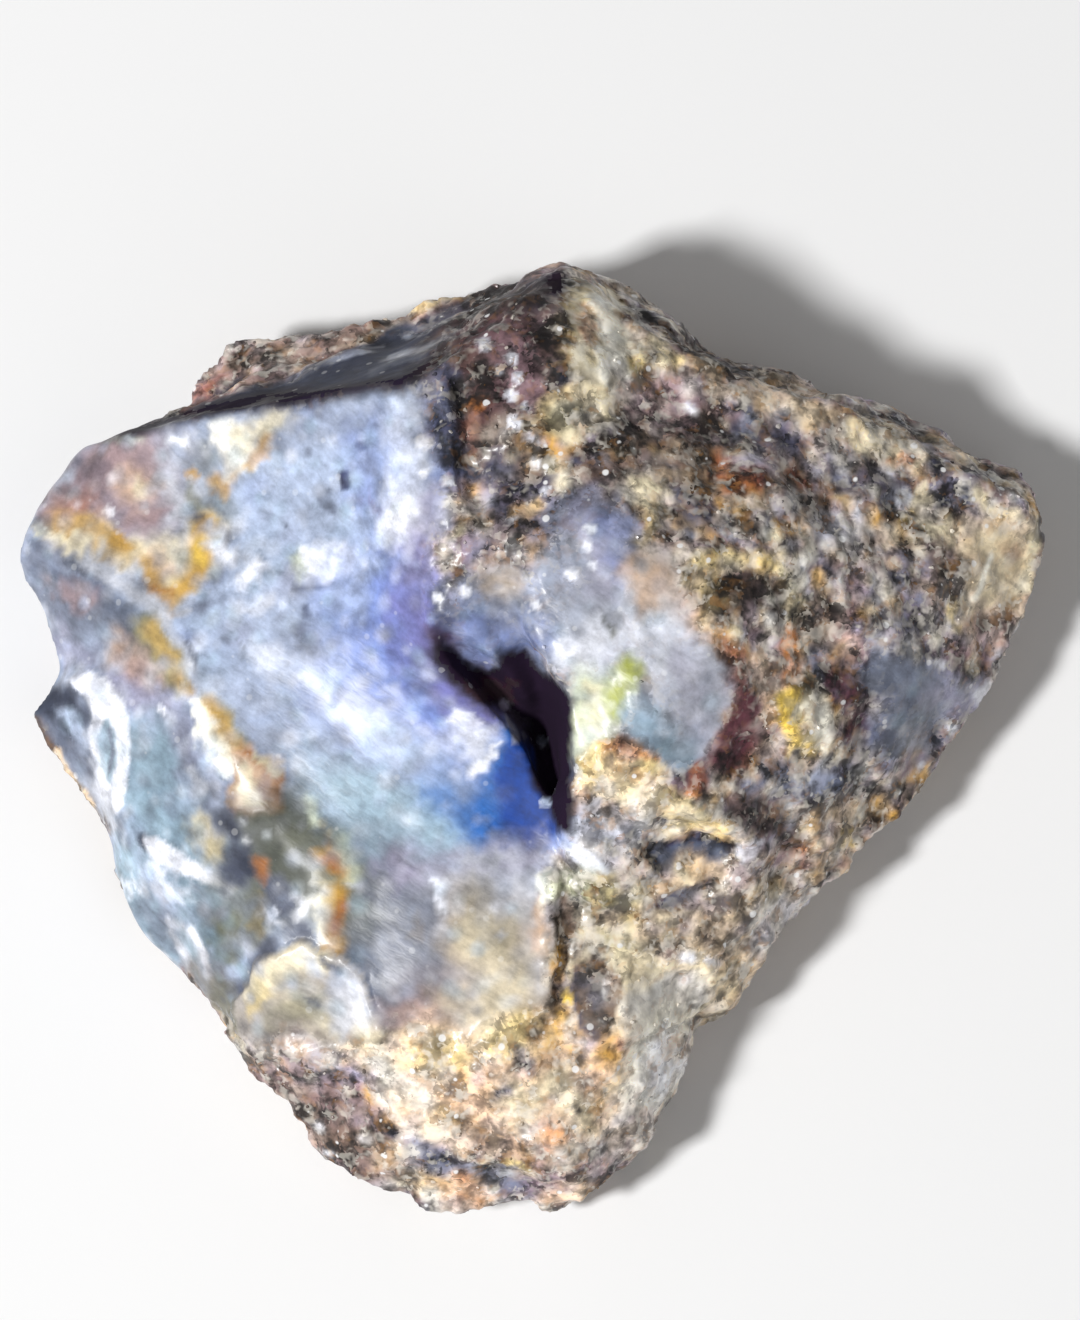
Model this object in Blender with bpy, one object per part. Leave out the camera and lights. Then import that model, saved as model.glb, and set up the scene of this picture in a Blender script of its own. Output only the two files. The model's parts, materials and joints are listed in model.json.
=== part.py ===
"""A rough opal: one broken stone of pale blue opal grown into brown sandy rock.

The stone lies on its flat underside, on the XY plane, with its origin at the middle of its
bounding box there. +X runs to the right and +Y away from someone who looks down on its broken
face. It is one piece: the opal and the rock that holds it grew together.

The form starts as a survey of the broken face, in millimetres. Lines follow the sharp arrises,
lips and ledges, and single points carry the broad faces between them. A Delaunay triangulation
joins them, the rim is drawn down and in to the flat underside, and the whole skin is then
refined, softened between its arrises and broken up by scallops on the opal and lumps on the rock.
"""

import math

import bmesh
import bpy
from mathutils import Matrix, Vector, geometry, noise

NAME = "rough_opal"
MM = 0.001

# Settings of the triangulation: keep every triangle, and take corners this close as one.
WHOLE_TRIANGULATION = 0
CROSSING_TOLERANCE = 1e-6

# Each surveyed corner is (across, up, height) in millimetres. Across and up are measured looking
# down at the stone, tilted this far off the vertical; height is above the table.
LOOK_TILT = math.radians(10)
LOOK_HEIGHT = 9.0

# The widest outline of the stone, clockwise from the peak.
RIM = [
    # the peak, and the steep back that falls away on its right
    (1.9, 24.2, 9.0), (3.6, 23.2, 6.5), (5.6, 21.9, 5.5), (8.6, 20.2, 5.0), (11.9, 18.9, 5.0),
    (14.3, 18.1, 4.8), (16.8, 17.4, 4.5), (20.3, 15.9, 4.2), (24.1, 14.3, 4.0), (25.9, 12.2, 4.5),
    # the right corner and the long lower right side
    (26.1, 10.2, 5.5), (25.9, 8.6, 5.5), (25.3, 6.5, 5.2), (24.6, 4.6, 5.0), (23.9, 2.3, 4.6),
    (22.1, 0.7, 4.5), (20.6, -0.9, 4.5), (18.8, -3.0, 4.4), (16.0, -6.1, 4.6), (14.1, -8.4, 4.8),
    (11.7, -11.2, 4.8), (9.8, -13.2, 4.6), (8.1, -14.3, 4.4), (7.8, -16.0, 4.2), (7.2, -17.8, 4.0),
    (6.1, -19.9, 4.0), (4.2, -22.5, 3.8), (2.5, -23.7, 3.6),
    # the blunt bottom end
    (0.5, -24.2, 3.6), (-1.8, -24.0, 3.4), (-4.6, -23.2, 3.4), (-6.2, -22.7, 3.6),
    (-7.7, -22.8, 3.6), (-9.4, -21.9, 3.8), (-10.8, -21.0, 4.0), (-11.7, -19.8, 4.0),
    # the lower left side, up to the chipped point
    (-13.3, -17.7, 4.2), (-14.7, -15.8, 4.4), (-16.2, -13.6, 4.4), (-17.7, -11.4, 4.4),
    (-19.4, -9.2, 4.2), (-20.9, -7.0, 4.2), (-21.6, -5.2, 4.2), (-23.3, -2.6, 3.8),
    (-24.8, -0.8, 3.6), (-25.7, 1.3, 4.0), (-25.0, 2.4, 4.6),
    # the left end
    (-24.3, 3.6, 5.0), (-24.6, 4.8, 5.0), (-25.2, 6.7, 5.0), (-25.9, 8.5, 5.2), (-26.0, 9.3, 5.4),
    (-25.2, 11.2, 5.6), (-24.8, 12.3, 5.8), (-24.0, 13.6, 6.0), (-23.0, 14.9, 6.2),
    (-21.6, 15.7, 6.6),
    # the upper left side, behind the crest
    (-19.3, 16.2, 6.0), (-17.4, 17.1, 5.2), (-17.1, 18.0, 4.8), (-16.0, 18.9, 4.6),
    (-14.6, 19.7, 4.6), (-11.7, 20.6, 4.8), (-9.7, 21.0, 5.0), (-7.7, 21.8, 5.2),
    (-6.3, 22.5, 5.6), (-4.7, 22.8, 5.8), (-2.0, 23.2, 6.4), (-0.5, 23.7, 7.2), (0.8, 24.1, 8.2),
]  # fmt: skip

# Sharp arrises, lips and the feet of steps. They stay crisp when the faces between are softened.
LINES = {
    "upper left crest": [
        (-20.6, 15.7, 8.6), (-18.3, 16.3, 10.2), (-15.2, 17.0, 11.8), (-11.7, 17.5, 13.6),
        (-8.1, 18.0, 15.6), (-4.6, 18.8, 17.0), (-2.9, 20.1, 16.8), (-0.8, 22.1, 15.6),
        (0.9, 23.3, 14.0), (1.8, 23.8, 12.6),
    ],
    "ledge behind the crest": [
        (-16.4, 17.6, 6.0), (-15.0, 18.5, 5.9), (-12.2, 19.3, 6.0), (-9.7, 19.9, 6.2),
        (-6.6, 21.2, 6.8), (-4.1, 22.0, 7.4), (-1.0, 22.9, 8.4),
    ],
    "upper right crest": [
        (1.8, 23.8, 12.6), (3.6, 22.4, 13.2), (5.6, 21.1, 13.0), (8.6, 19.3, 12.2),
        (11.8, 17.8, 11.4), (13.7, 17.6, 11.0), (15.2, 17.1, 10.4), (16.3, 16.3, 9.9),
        (18.8, 14.9, 9.0), (21.3, 13.5, 8.2), (23.9, 12.2, 7.6), (25.6, 11.1, 7.0),
    ],
    "opal lip over the rock": [
        (-4.6, 18.8, 17.0), (-4.3, 17.3, 17.4), (-4.1, 15.2, 17.8), (-3.9, 13.2, 18.0),
        (-3.5, 10.9, 18.1), (-2.9, 9.1, 18.0),
    ],
    "rock under the lip": [
        (-3.8, 17.4, 16.4), (-3.5, 15.3, 16.8), (-3.3, 13.3, 17.1), (-2.8, 11.0, 17.5),
    ],
    "cleft, left rim": [
        (-5.2, 6.0, 16.8), (-4.6, 4.3, 15.9), (-3.0, 2.5, 14.9), (-1.4, 0.9, 14.0),
        (-0.1, -0.8, 13.2), (0.6, -2.8, 12.5), (1.0, -4.7, 12.1),
    ],
    "cleft, floor": [
        (-4.7, 5.6, 16.0), (-3.3, 3.9, 13.8), (-1.5, 2.3, 11.8), (-0.1, 0.8, 10.2),
        (0.9, -1.1, 9.4), (1.2, -2.8, 10.0), (1.3, -4.4, 11.4),
    ],
    "cleft, upper rim": [(-4.6, 6.5, 17.4), (-2.9, 5.2, 16.9), (-1.5, 3.7, 15.6), (-0.3, 2.0, 13.4)],
    "cleft, side arm": [(-0.7, 5.2, 16.2), (0.0, 3.9, 14.2), (0.6, 2.3, 12.0), (0.9, 0.6, 10.2)],
    "cleft, right rim": [
        (-0.2, 5.6, 17.6), (1.0, 4.0, 17.0), (1.7, 2.4, 16.6), (1.9, 0.0, 15.9),
        (1.9, -2.5, 14.9), (1.6, -4.7, 13.0),
    ],
    "seam, opal side": [(1.1, -6.6, 12.1), (1.1, -9.1, 11.9), (1.0, -11.2, 11.7), (0.8, -13.2, 11.4)],
    "seam, rock side": [(1.6, -6.5, 11.5), (1.6, -9.0, 11.0), (1.5, -11.1, 10.7), (1.4, -13.2, 10.6)],
    "honey vein": [
        (-25.4, 9.9, 6.4), (-23.4, 8.9, 7.6), (-21.2, 7.8, 8.8), (-18.3, 4.8, 10.2),
        (-16.5, 2.0, 11.0), (-15.3, -0.9, 11.4), (-13.4, -3.5, 11.6), (-12.1, -5.6, 11.4),
    ],
    "glossy chip": [
        (-24.0, 3.0, 6.2), (-22.6, 3.2, 7.4), (-21.2, 2.5, 8.2), (-20.5, 0.5, 8.4),
        (-20.4, -1.8, 7.8), (-21.1, -3.6, 6.8),
    ],
    "arris inside the chip": [(-23.6, 2.1, 6.0), (-22.7, 0.3, 6.2), (-22.3, -2.3, 5.4)],
    "lower chip": [(-20.4, -5.0, 7.2), (-19.2, -5.5, 7.8), (-17.0, -6.5, 8.6), (-14.9, -7.6, 9.3)],
    "leaf-shaped scar": [
        (-17.9, -7.7, 7.8), (-17.0, -9.4, 7.8), (-16.4, -10.9, 7.4), (-16.2, -12.6, 6.0),
    ],
    "cream flake": [
        (-14.9, -13.6, 7.4), (-13.6, -11.9, 8.8), (-13.1, -10.8, 9.5), (-11.7, -10.5, 10.2),
        (-10.2, -10.7, 10.6), (-9.0, -11.5, 10.8), (-7.9, -12.7, 10.6), (-7.5, -14.6, 9.9),
        (-6.1, -15.5, 9.5),
    ],
    "bottom ledge": [
        (-6.6, -20.8, 5.9), (-4.6, -21.3, 6.1), (-2.0, -21.7, 6.3), (0.5, -22.4, 6.1),
        (2.5, -22.7, 5.5),
    ],
    "foot of the bottom ledge": [
        (-6.4, -21.4, 4.9), (-4.3, -22.0, 4.9), (-1.8, -22.6, 5.0), (0.7, -23.1, 4.8),
    ],
    "cracked plate": [(5.6, -15.1, 8.4), (6.8, -14.7, 7.6), (7.8, -14.3, 6.2)],
    "under the cracked plate": [(5.9, -15.8, 7.3), (7.0, -15.3, 6.3)],
    "cream ledge": [(5.6, -3.7, 14.2), (7.1, -3.3, 13.8), (8.9, -3.6, 13.0), (10.6, -4.7, 11.9)],
    "hollow under the cream ledge": [
        (5.7, -5.0, 12.2), (7.4, -4.7, 11.8), (9.0, -5.1, 11.2), (10.5, -5.9, 10.6),
    ],
    "right arris": [
        (15.8, 9.1, 12.6), (17.2, 5.6, 11.6), (18.0, 2.5, 9.8), (17.1, -0.6, 8.8),
        (15.7, -3.0, 8.4),
    ],
    "edge of the dark lens": [
        (2.3, -11.1, 10.9), (3.6, -10.7, 11.0), (4.6, -12.4, 10.7), (4.7, -14.2, 10.0),
        (3.6, -15.3, 9.6),
    ],
}  # fmt: skip

# Points that carry the broad faces between those lines.
FACES = {
    "scoop behind the crest": [
        (-16.5, 17.2, 8.4), (-14.7, 17.7, 8.4), (-11.2, 18.5, 8.8), (-7.4, 19.7, 9.8),
        (-3.8, 21.1, 11.0), (-0.5, 22.6, 11.6),
    ],
    "upper left face": [
        (-17.8, 13.2, 9.4), (-22.9, 11.2, 7.4), (-14.2, 12.2, 11.6), (-10.7, 14.2, 13.6),
        (-6.9, 15.2, 16.6), (-9.7, 9.1, 13.6), (-5.8, 10.2, 17.4), (-15.2, 6.1, 11.3),
        (-7.6, 6.6, 15.0), (-11.7, 3.6, 12.4),
    ],
    "blue bowl": [
        (-6.6, 2.5, 14.0), (-9.1, 0.0, 12.6), (-4.1, -1.3, 12.8), (-6.6, -2.5, 12.2),
        (-1.5, -3.3, 12.0), (-5.1, -5.1, 11.9), (-0.5, -6.1, 12.1),
    ],
    "slope below the bowl": [
        (-9.7, -4.6, 11.7), (-8.1, -7.6, 11.4), (-3.6, -9.1, 12.0), (-11.2, -8.4, 11.2),
        (-14.7, -10.2, 9.3), (-5.6, -12.2, 11.4), (-1.5, -13.7, 11.2),
    ],
    "lower left scar": [
        (-24.1, 6.6, 6.6), (-21.3, 5.1, 8.0), (-19.3, 1.0, 9.0), (-17.3, -2.5, 9.9),
        (-15.5, -5.6, 10.3), (-18.8, -3.8, 8.2),
    ],
    "chips on the left edge": [
        (-24.4, 1.0, 5.0), (-23.4, -1.0, 4.9), (-19.8, -7.4, 6.4), (-17.8, -9.7, 6.0),
    ],
    "cream flake's face": [
        (-11.7, -13.2, 8.6), (-9.7, -14.5, 9.0), (-12.7, -15.7, 6.8), (-10.2, -17.0, 7.2),
    ],
    "sandy skirt": [
        (-7.1, -17.8, 8.2), (-3.6, -16.8, 9.8), (0.0, -16.3, 10.2), (-5.1, -19.6, 7.2),
        (-0.5, -19.8, 7.8), (-9.4, -19.3, 5.8), (3.0, -17.8, 9.0), (3.0, -20.8, 6.6),
        (5.6, -18.0, 7.0),
    ],
    "brown shoulder": [
        (-0.5, 19.8, 16.4), (-2.3, 16.3, 17.0), (3.0, 20.3, 15.6), (0.5, 15.2, 17.4),
        (4.6, 16.3, 15.8), (-0.5, 9.1, 18.3), (3.6, 11.2, 18.2), (8.1, 15.2, 14.8),
    ],
    "crown": [
        (2.5, 6.6, 18.0), (6.6, 8.1, 17.8), (5.6, 3.0, 17.0), (8.6, 5.1, 16.8),
        (4.6, -1.0, 15.8), (8.1, -0.5, 15.2),
    ],
    "right face": [
        (11.7, 14.7, 13.0), (10.7, 10.2, 16.0), (14.7, 13.7, 11.4), (13.2, 7.1, 14.2),
        (18.3, 11.2, 10.2), (21.8, 10.2, 8.6), (24.1, 9.1, 7.2), (20.3, 7.1, 9.6),
        (23.4, 5.1, 6.6), (20.8, 3.0, 7.6), (18.8, 0.0, 7.4), (13.2, 2.5, 13.4),
        (11.2, 2.0, 15.0), (13.2, -1.5, 11.6),
    ],
    "lower right face": [
        (3.6, -4.6, 13.8), (3.6, -7.6, 12.4), (6.1, -8.1, 11.4), (11.7, -4.6, 11.0),
        (13.7, -5.6, 8.4), (10.7, -8.1, 9.2), (8.1, -9.1, 10.2), (6.6, -11.7, 9.6),
        (9.7, -10.7, 7.6), (8.1, -13.0, 7.0), (3.0, -13.2, 9.9),
    ],
}  # fmt: skip

# The side under the rim is drawn down and in, ring by ring: (share of the rim's height left,
# share of its distance from the foot's centre left). The last ring is the flat underside.
UNDERCUT = [(0.62, 0.975), (0.28, 0.92), (0.0, 0.85)]
FOOT_CENTRE = Vector((0.0, 1.0))
# How unevenly it is drawn: (share of the reach, share of the height, size of the unevenness).
UNDERCUT_WOBBLE = (0.05, 0.45, 6.0)

# No edge of the finished skin is longer than this. The faces between arrises are softened by
# this much, this many times, before the relief, and by this much after it.
LONGEST_EDGE = 1.5
SOFTENING = (0.5, 2)
LAST_SOFTENING = (0.3, 1)

# The opal's own face, as a closed outline in the survey's across and up, and the width over
# which the opal's relief passes into the rock's.
OPAL_FACE = [
    (-26, 12), (-21, 15.4), (-12, 17.2), (-4.6, 18.6), (-4.0, 14), (-3.2, 10), (-5, 6.4),
    (-1.5, 0.8), (1.0, -5), (0.9, -13), (-5, -14.5), (-7.8, -13), (-9.6, -10.8), (-13, -10.6),
    (-16.4, -13), (-21.6, -5), (-26, 1),
]  # fmt: skip
OPAL_FADE = 1.2

# Shallow conchoidal scallops on the opal and deeper ones on the broken sides: (size, depth).
OPAL_SCALLOPS = (5.5, 0.30)
SIDE_SCALLOPS = (6.5, 1.3)
# A bowl's radius as a share of its size.
SCALLOP_RADIUS = 0.7
# The sides are what faces less upward than this and lies lower than this; over so much of the
# slope and of the height they pass into the top.
SIDE_SLOPE = (0.4, 0.5)
SIDE_HEIGHT = (9.0, 3.0)
# Lumps of the sandy rock: (size, height).
LUMPS = (4.2, 0.8)
# Broken bedding across the rock: the beds' thickness, the height of a step, the way they face,
# and how much and over what length they wander.
BED = 3.3
BED_STEP = 0.5
BED_NORMAL = Vector((0.35, -0.45, 0.82)).normalized()
BED_WANDER = (0.6, 7.0)
# The share of a bed's thickness where its riser starts, and the riser's own share.
RISER = (0.35, 0.3)
# Below this height the relief fades out, so that the stone still sits flat.
FADE_HEIGHT = 1.5


def clear_scene():
    """Removes whatever the file holds."""
    for obj in list(bpy.data.objects):
        bpy.data.objects.remove(obj)


def in_plan(corner):
    """A surveyed corner as a point above the table, in millimetres."""
    across, up, height = corner
    seen = up - (height - LOOK_HEIGHT) * math.sin(LOOK_TILT)
    return Vector((across, seen / math.cos(LOOK_TILT), height))


def on_face(across, up):
    """A point of an outline on the survey, in plan."""
    return Vector((across, up / math.cos(LOOK_TILT)))


def survey():
    """(points, rim edges, arris edges): the surveyed corners in plan, each one once."""
    points, index = [], {}

    def number_of(corner):
        if corner not in index:
            index[corner] = len(points)
            points.append(in_plan(corner))
        return index[corner]

    loop = [number_of(corner) for corner in RIM]
    rim = list(zip(loop, loop[1:] + loop[:1]))
    arrises = []
    for line in LINES.values():
        chain = [number_of(corner) for corner in line]
        arrises += zip(chain, chain[1:])
    for spots in FACES.values():
        for corner in spots:
            number_of(corner)
    return points, rim, arrises


def broken_face():
    """The stone's upper surface as a mesh of flat facets, with its arrises marked as seams."""
    points, rim, arrises = survey()
    flat = [point.xy for point in points]
    corners, _, faces, came_from, _, _ = geometry.delaunay_2d_cdt(
        flat, rim + arrises, [], WHOLE_TRIANGULATION, CROSSING_TOLERANCE, True
    )
    mesh = bmesh.new()
    corner_of = {}
    for corner, sources in zip(corners, came_from):
        if not sources:
            raise ValueError(f"two surveyed lines cross at {corner[:]}")
        vert = mesh.verts.new((corner.x, corner.y, points[sources[0]].z))
        for source in sources:
            corner_of[source] = vert
    mesh.verts.ensure_lookup_table()
    for face in faces:
        mesh.faces.new([mesh.verts[i] for i in face])
    for a, b in rim + arrises:
        mesh.edges.get((corner_of[a], corner_of[b])).seam = True
    trim_to_rim(mesh)
    mesh.normal_update()
    return mesh


def trim_to_rim(mesh):
    """Takes away the triangles that bridge the hollows of the outline."""
    while bridges := [edge for edge in mesh.edges if edge.is_boundary and not edge.seam]:
        outside = {face for edge in bridges for face in edge.link_faces}
        bmesh.ops.delete(mesh, geom=list(outside), context="FACES")


def add_side_and_underside(mesh):
    """Draws the rim down and in to the table, ring by ring, and closes the flat underside."""
    reach_wobble, height_wobble, wobble_size = UNDERCUT_WOBBLE
    ring = [edge for edge in mesh.edges if edge.is_boundary]
    height_left, reach_left = 1.0, 1.0
    for height_share, reach_share in UNDERCUT:
        drop, draw = height_share / height_left, reach_share / reach_left
        made = bmesh.ops.extrude_edge_only(mesh, edges=ring)["geom"]
        for vert in (item for item in made if isinstance(item, bmesh.types.BMVert)):
            sway = noise.noise(vert.co / wobble_size)
            vert.co.xy = FOOT_CENTRE + (vert.co.xy - FOOT_CENTRE) * draw * (1 + reach_wobble * sway)
            vert.co.z *= drop * (1 + height_wobble * sway)
        ring = [edge for edge in mesh.edges if edge.is_boundary]
        height_left, reach_left = height_share, reach_share
    for edge in ring:
        edge.seam = True
    bmesh.ops.holes_fill(mesh, edges=ring, sides=0)
    bmesh.ops.recalc_face_normals(mesh, faces=mesh.faces)


def refine(mesh):
    """Halves the long edges until the skin is even. The flat underside stays one face."""
    while long := [edge for edge in mesh.edges if edge.calc_length() > LONGEST_EDGE]:
        bmesh.ops.subdivide_edges(mesh, edges=long, cuts=1, use_grid_fill=True)
        broad = [face for face in mesh.faces if len(face.verts) > 3 and not is_underside(face)]
        bmesh.ops.triangulate(mesh, faces=broad, quad_method="SHORT_EDGE")


def is_underside(face):
    """Whether this is the face that the stone rests on."""
    return all(vert.co.z == 0 for vert in face.verts)


def soften(mesh, factor, times):
    """Rounds the faces between the arrises."""
    loose = [vert for vert in mesh.verts if not any(edge.seam for edge in vert.link_edges)]
    for _ in range(times):
        bmesh.ops.smooth_vert(
            mesh, verts=loose, factor=factor, use_axis_x=True, use_axis_y=True, use_axis_z=True
        )


def share_below(value, limit, width):
    """0 above the limit, 1 from so much below it, and evenly changing between."""
    return min(max((limit - value) / width, 0.0), 1.0)


def opal_share(point, outline):
    """1 well inside the opal's face, 0 on the rock, and between the two near the boundary."""
    flat = point.xy
    inside = False
    nearest = math.inf
    for a, b in zip(outline, outline[1:] + outline[:1]):
        _, along = geometry.intersect_point_line(flat, a, b)
        foot = a + (b - a) * min(max(along, 0.0), 1.0)
        nearest = min(nearest, (foot - flat).length)
        if (a.y > flat.y) != (b.y > flat.y):
            crossing = a.x + (flat.y - a.y) / (b.y - a.y) * (b.x - a.x)
            inside ^= crossing > flat.x
    signed = nearest if inside else -nearest
    return min(max(0.5 + signed / OPAL_FADE, 0.0), 1.0)


def scallops(point, size_and_depth):
    """How far a conchoidal break sinks here: bowls that meet in arrises."""
    size, depth = size_and_depth
    distances, _ = noise.voronoi(point / size)
    return -depth * (1 - min(distances[0] / SCALLOP_RADIUS, 1.0) ** 2)


def bedding(point):
    """Broken bedding: flat treads and short risers across the rock."""
    amount, length = BED_WANDER
    start, rise = RISER
    level = point.dot(BED_NORMAL) / BED + amount * noise.noise(point / length)
    part = level - math.floor(level)
    riser = min(max((part - start) / rise, 0.0), 1.0)
    return BED_STEP * (riser - part)


def lumps(point):
    """Lumps of sandy rock."""
    size, height = LUMPS
    return height * noise.fractal(point / size, 1.0, 2.0, 2)


def relief(vert, outline):
    """How far the weathered skin stands proud of the survey at a corner of the mesh."""
    point = vert.co
    side = share_below(vert.normal.z, *SIDE_SLOPE) * share_below(point.z, *SIDE_HEIGHT)
    opal = opal_share(point, outline) * (1 - side)
    rock = lumps(point) + bedding(point)
    bowls = SIDE_SCALLOPS[1] / 2 + scallops(point, SIDE_SCALLOPS)
    return opal * scallops(point, OPAL_SCALLOPS) + (1 - opal) * rock + side * bowls


def weather(mesh):
    """Breaks up the skin along its normals, and keeps the underside flat."""
    outline = [on_face(*corner) for corner in OPAL_FACE]
    mesh.normal_update()
    moves = [(vert, vert.normal * relief(vert, outline)) for vert in mesh.verts if vert.co.z > 0]
    for vert, move in moves:
        vert.co += move * min(vert.co.z / FADE_HEIGHT, 1.0)


def seat(mesh):
    """Centres the stone on the origin and turns its millimetres to metres."""
    for axis in (0, 1):
        reach = [vert.co[axis] for vert in mesh.verts]
        middle = (min(reach) + max(reach)) / 2
        for vert in mesh.verts:
            vert.co[axis] -= middle
    bmesh.ops.triangulate(mesh, faces=mesh.faces, ngon_method="BEAUTY")
    bmesh.ops.transform(mesh, matrix=Matrix.Scale(MM, 4), verts=mesh.verts)


def opal_material():
    """Pale blue common opal with a glassy break."""
    material = bpy.data.materials.new("pale_blue_opal_in_sandstone")
    material.use_nodes = True
    shader = material.node_tree.nodes["Principled BSDF"]
    shader.inputs["Base Color"].default_value = (0.42, 0.46, 0.56, 1)
    shader.inputs["Roughness"].default_value = 0.35
    shader.inputs["Metallic"].default_value = 0.0
    return material


def build_stone():
    """The whole stone, as one object in its own collection."""
    mesh = broken_face()
    add_side_and_underside(mesh)
    refine(mesh)
    soften(mesh, *SOFTENING)
    weather(mesh)
    soften(mesh, *LAST_SOFTENING)
    seat(mesh)
    data = bpy.data.meshes.new(NAME)
    mesh.to_mesh(data)
    mesh.free()
    data.shade_smooth()
    data.set_sharp_from_angle(angle=math.radians(40))
    data.materials.append(opal_material())
    stone = bpy.data.objects.new(NAME, data)
    collection = bpy.data.collections.new("Rough opal")
    bpy.context.scene.collection.children.link(collection)
    collection.objects.link(stone)
    return stone


clear_scene()
build_stone()
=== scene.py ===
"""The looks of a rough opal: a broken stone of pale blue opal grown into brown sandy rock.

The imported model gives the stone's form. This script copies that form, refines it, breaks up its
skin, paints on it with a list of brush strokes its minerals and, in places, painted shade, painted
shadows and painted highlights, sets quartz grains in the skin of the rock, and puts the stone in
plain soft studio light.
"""

from __future__ import annotations

import json
import logging
import math
from collections.abc import Sequence
from dataclasses import dataclass
from enum import Enum
from functools import partial

import bpy
import numpy as np
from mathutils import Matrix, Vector, noise
from mathutils.kdtree import KDTree

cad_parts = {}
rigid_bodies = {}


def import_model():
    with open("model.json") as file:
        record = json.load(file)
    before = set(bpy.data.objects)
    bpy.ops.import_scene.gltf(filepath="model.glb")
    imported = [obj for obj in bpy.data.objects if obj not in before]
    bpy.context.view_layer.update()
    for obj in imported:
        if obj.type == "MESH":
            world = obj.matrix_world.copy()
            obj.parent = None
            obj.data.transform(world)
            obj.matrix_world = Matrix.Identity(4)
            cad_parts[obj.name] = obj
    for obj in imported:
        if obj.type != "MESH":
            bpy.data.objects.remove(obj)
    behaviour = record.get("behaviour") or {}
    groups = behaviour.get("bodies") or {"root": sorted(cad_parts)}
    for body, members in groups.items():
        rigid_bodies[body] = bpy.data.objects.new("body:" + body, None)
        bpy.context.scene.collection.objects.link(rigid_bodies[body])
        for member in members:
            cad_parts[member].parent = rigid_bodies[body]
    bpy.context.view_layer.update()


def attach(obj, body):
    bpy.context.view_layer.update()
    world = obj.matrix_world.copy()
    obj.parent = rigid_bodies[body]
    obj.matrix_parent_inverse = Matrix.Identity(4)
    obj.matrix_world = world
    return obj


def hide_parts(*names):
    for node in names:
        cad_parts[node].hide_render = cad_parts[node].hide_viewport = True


log = logging.getLogger("rough_opal")

MM = 0.001
NODE = "rough_opal"
FARTHEST = 14.0  # no mineral edge strays farther than this, in the view's units
GRAZING = 0.2  # a skin that faces the viewer less squarely than this takes strokes only in part


def linear(code: str) -> tuple[float, float, float, float]:
    """Turns an sRGB hex colour into the linear one that a shader takes.

    Args:
        code: Six hex digits.

    Returns:
        Red, green, blue and an alpha of 1.
    """
    parts = [int(code[i : i + 2], 16) / 255 for i in (0, 2, 4)]
    red, green, blue = (p / 12.92 if p <= 0.04045 else ((p + 0.055) / 1.055) ** 2.4 for p in parts)
    return red, green, blue, 1.0


def add_node(
    tree: bpy.types.NodeTree, kind: str, inputs: dict | None = None, **settings: object
) -> bpy.types.Node:
    """Adds one node with its settings and its input values or links.

    Args:
        tree: The node tree it goes in.
        kind: The node's type.
        inputs: Socket names or numbers, each with a value or with the output that feeds it.
        settings: The node's own properties.

    Returns:
        The new node.
    """
    node = tree.nodes.new(kind)
    for name, value in settings.items():
        setattr(node, name, value)
    for name, value in (inputs or {}).items():
        if isinstance(value, bpy.types.NodeSocket):
            tree.links.new(value, node.inputs[name])
        else:
            node.inputs[name].default_value = value
    return node


class Tint(Enum):
    """The stone's mineral colours, and the dark and white ones of its painted shade and painted highlights,
    as sRGB hex.
    """

    MILK_BLUE = "AEBDDC"
    PALE_SKY = "C3D2EE"
    BOWL_BLUE = "8AA2EE"
    AZURE = "3680DE"
    COBALT = "0C4CB2"
    CLOUD = "F1F3FC"
    VIOLET = "8581C6"
    LILAC = "AFA9C4"
    PEARL = "CBCED8"
    STEEL = "8F96AA"
    SLATE = "5E657A"
    NIGHT = "333A50"
    NAVY = "1A2342"
    INK = "221628"
    TEAL = "8CA7B8"
    ICE = "AFCBDD"
    OLIVE = "7D7D5C"
    MOSS = "51564B"
    LIME = "B7BE5A"
    PISTACHIO = "E6ECCB"
    HONEY = "D9A53C"
    AMBER = "C5762C"
    RUST = "7E3A22"
    MAROON = "41202A"
    YOLK = "F3CF55"
    STRAW = "E4CC8C"
    CREAM = "EFE2BF"
    CHALK = "FDFAEC"
    BUFF = "CDB596"
    SHELL = "E2BE9F"
    ROSE = "BC9D9C"
    MAUVE = "8C737B"
    GREIGE = "BDB4AB"
    TAUPE = "8F8176"
    UMBER = "5F4D41"
    COFFEE = "3D302C"


class Body(Enum):
    """What a stroke lays down: opal, rock, or colour alone."""

    OPAL = 1.0
    ROCK = 0.0
    STAIN = -1.0


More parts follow.
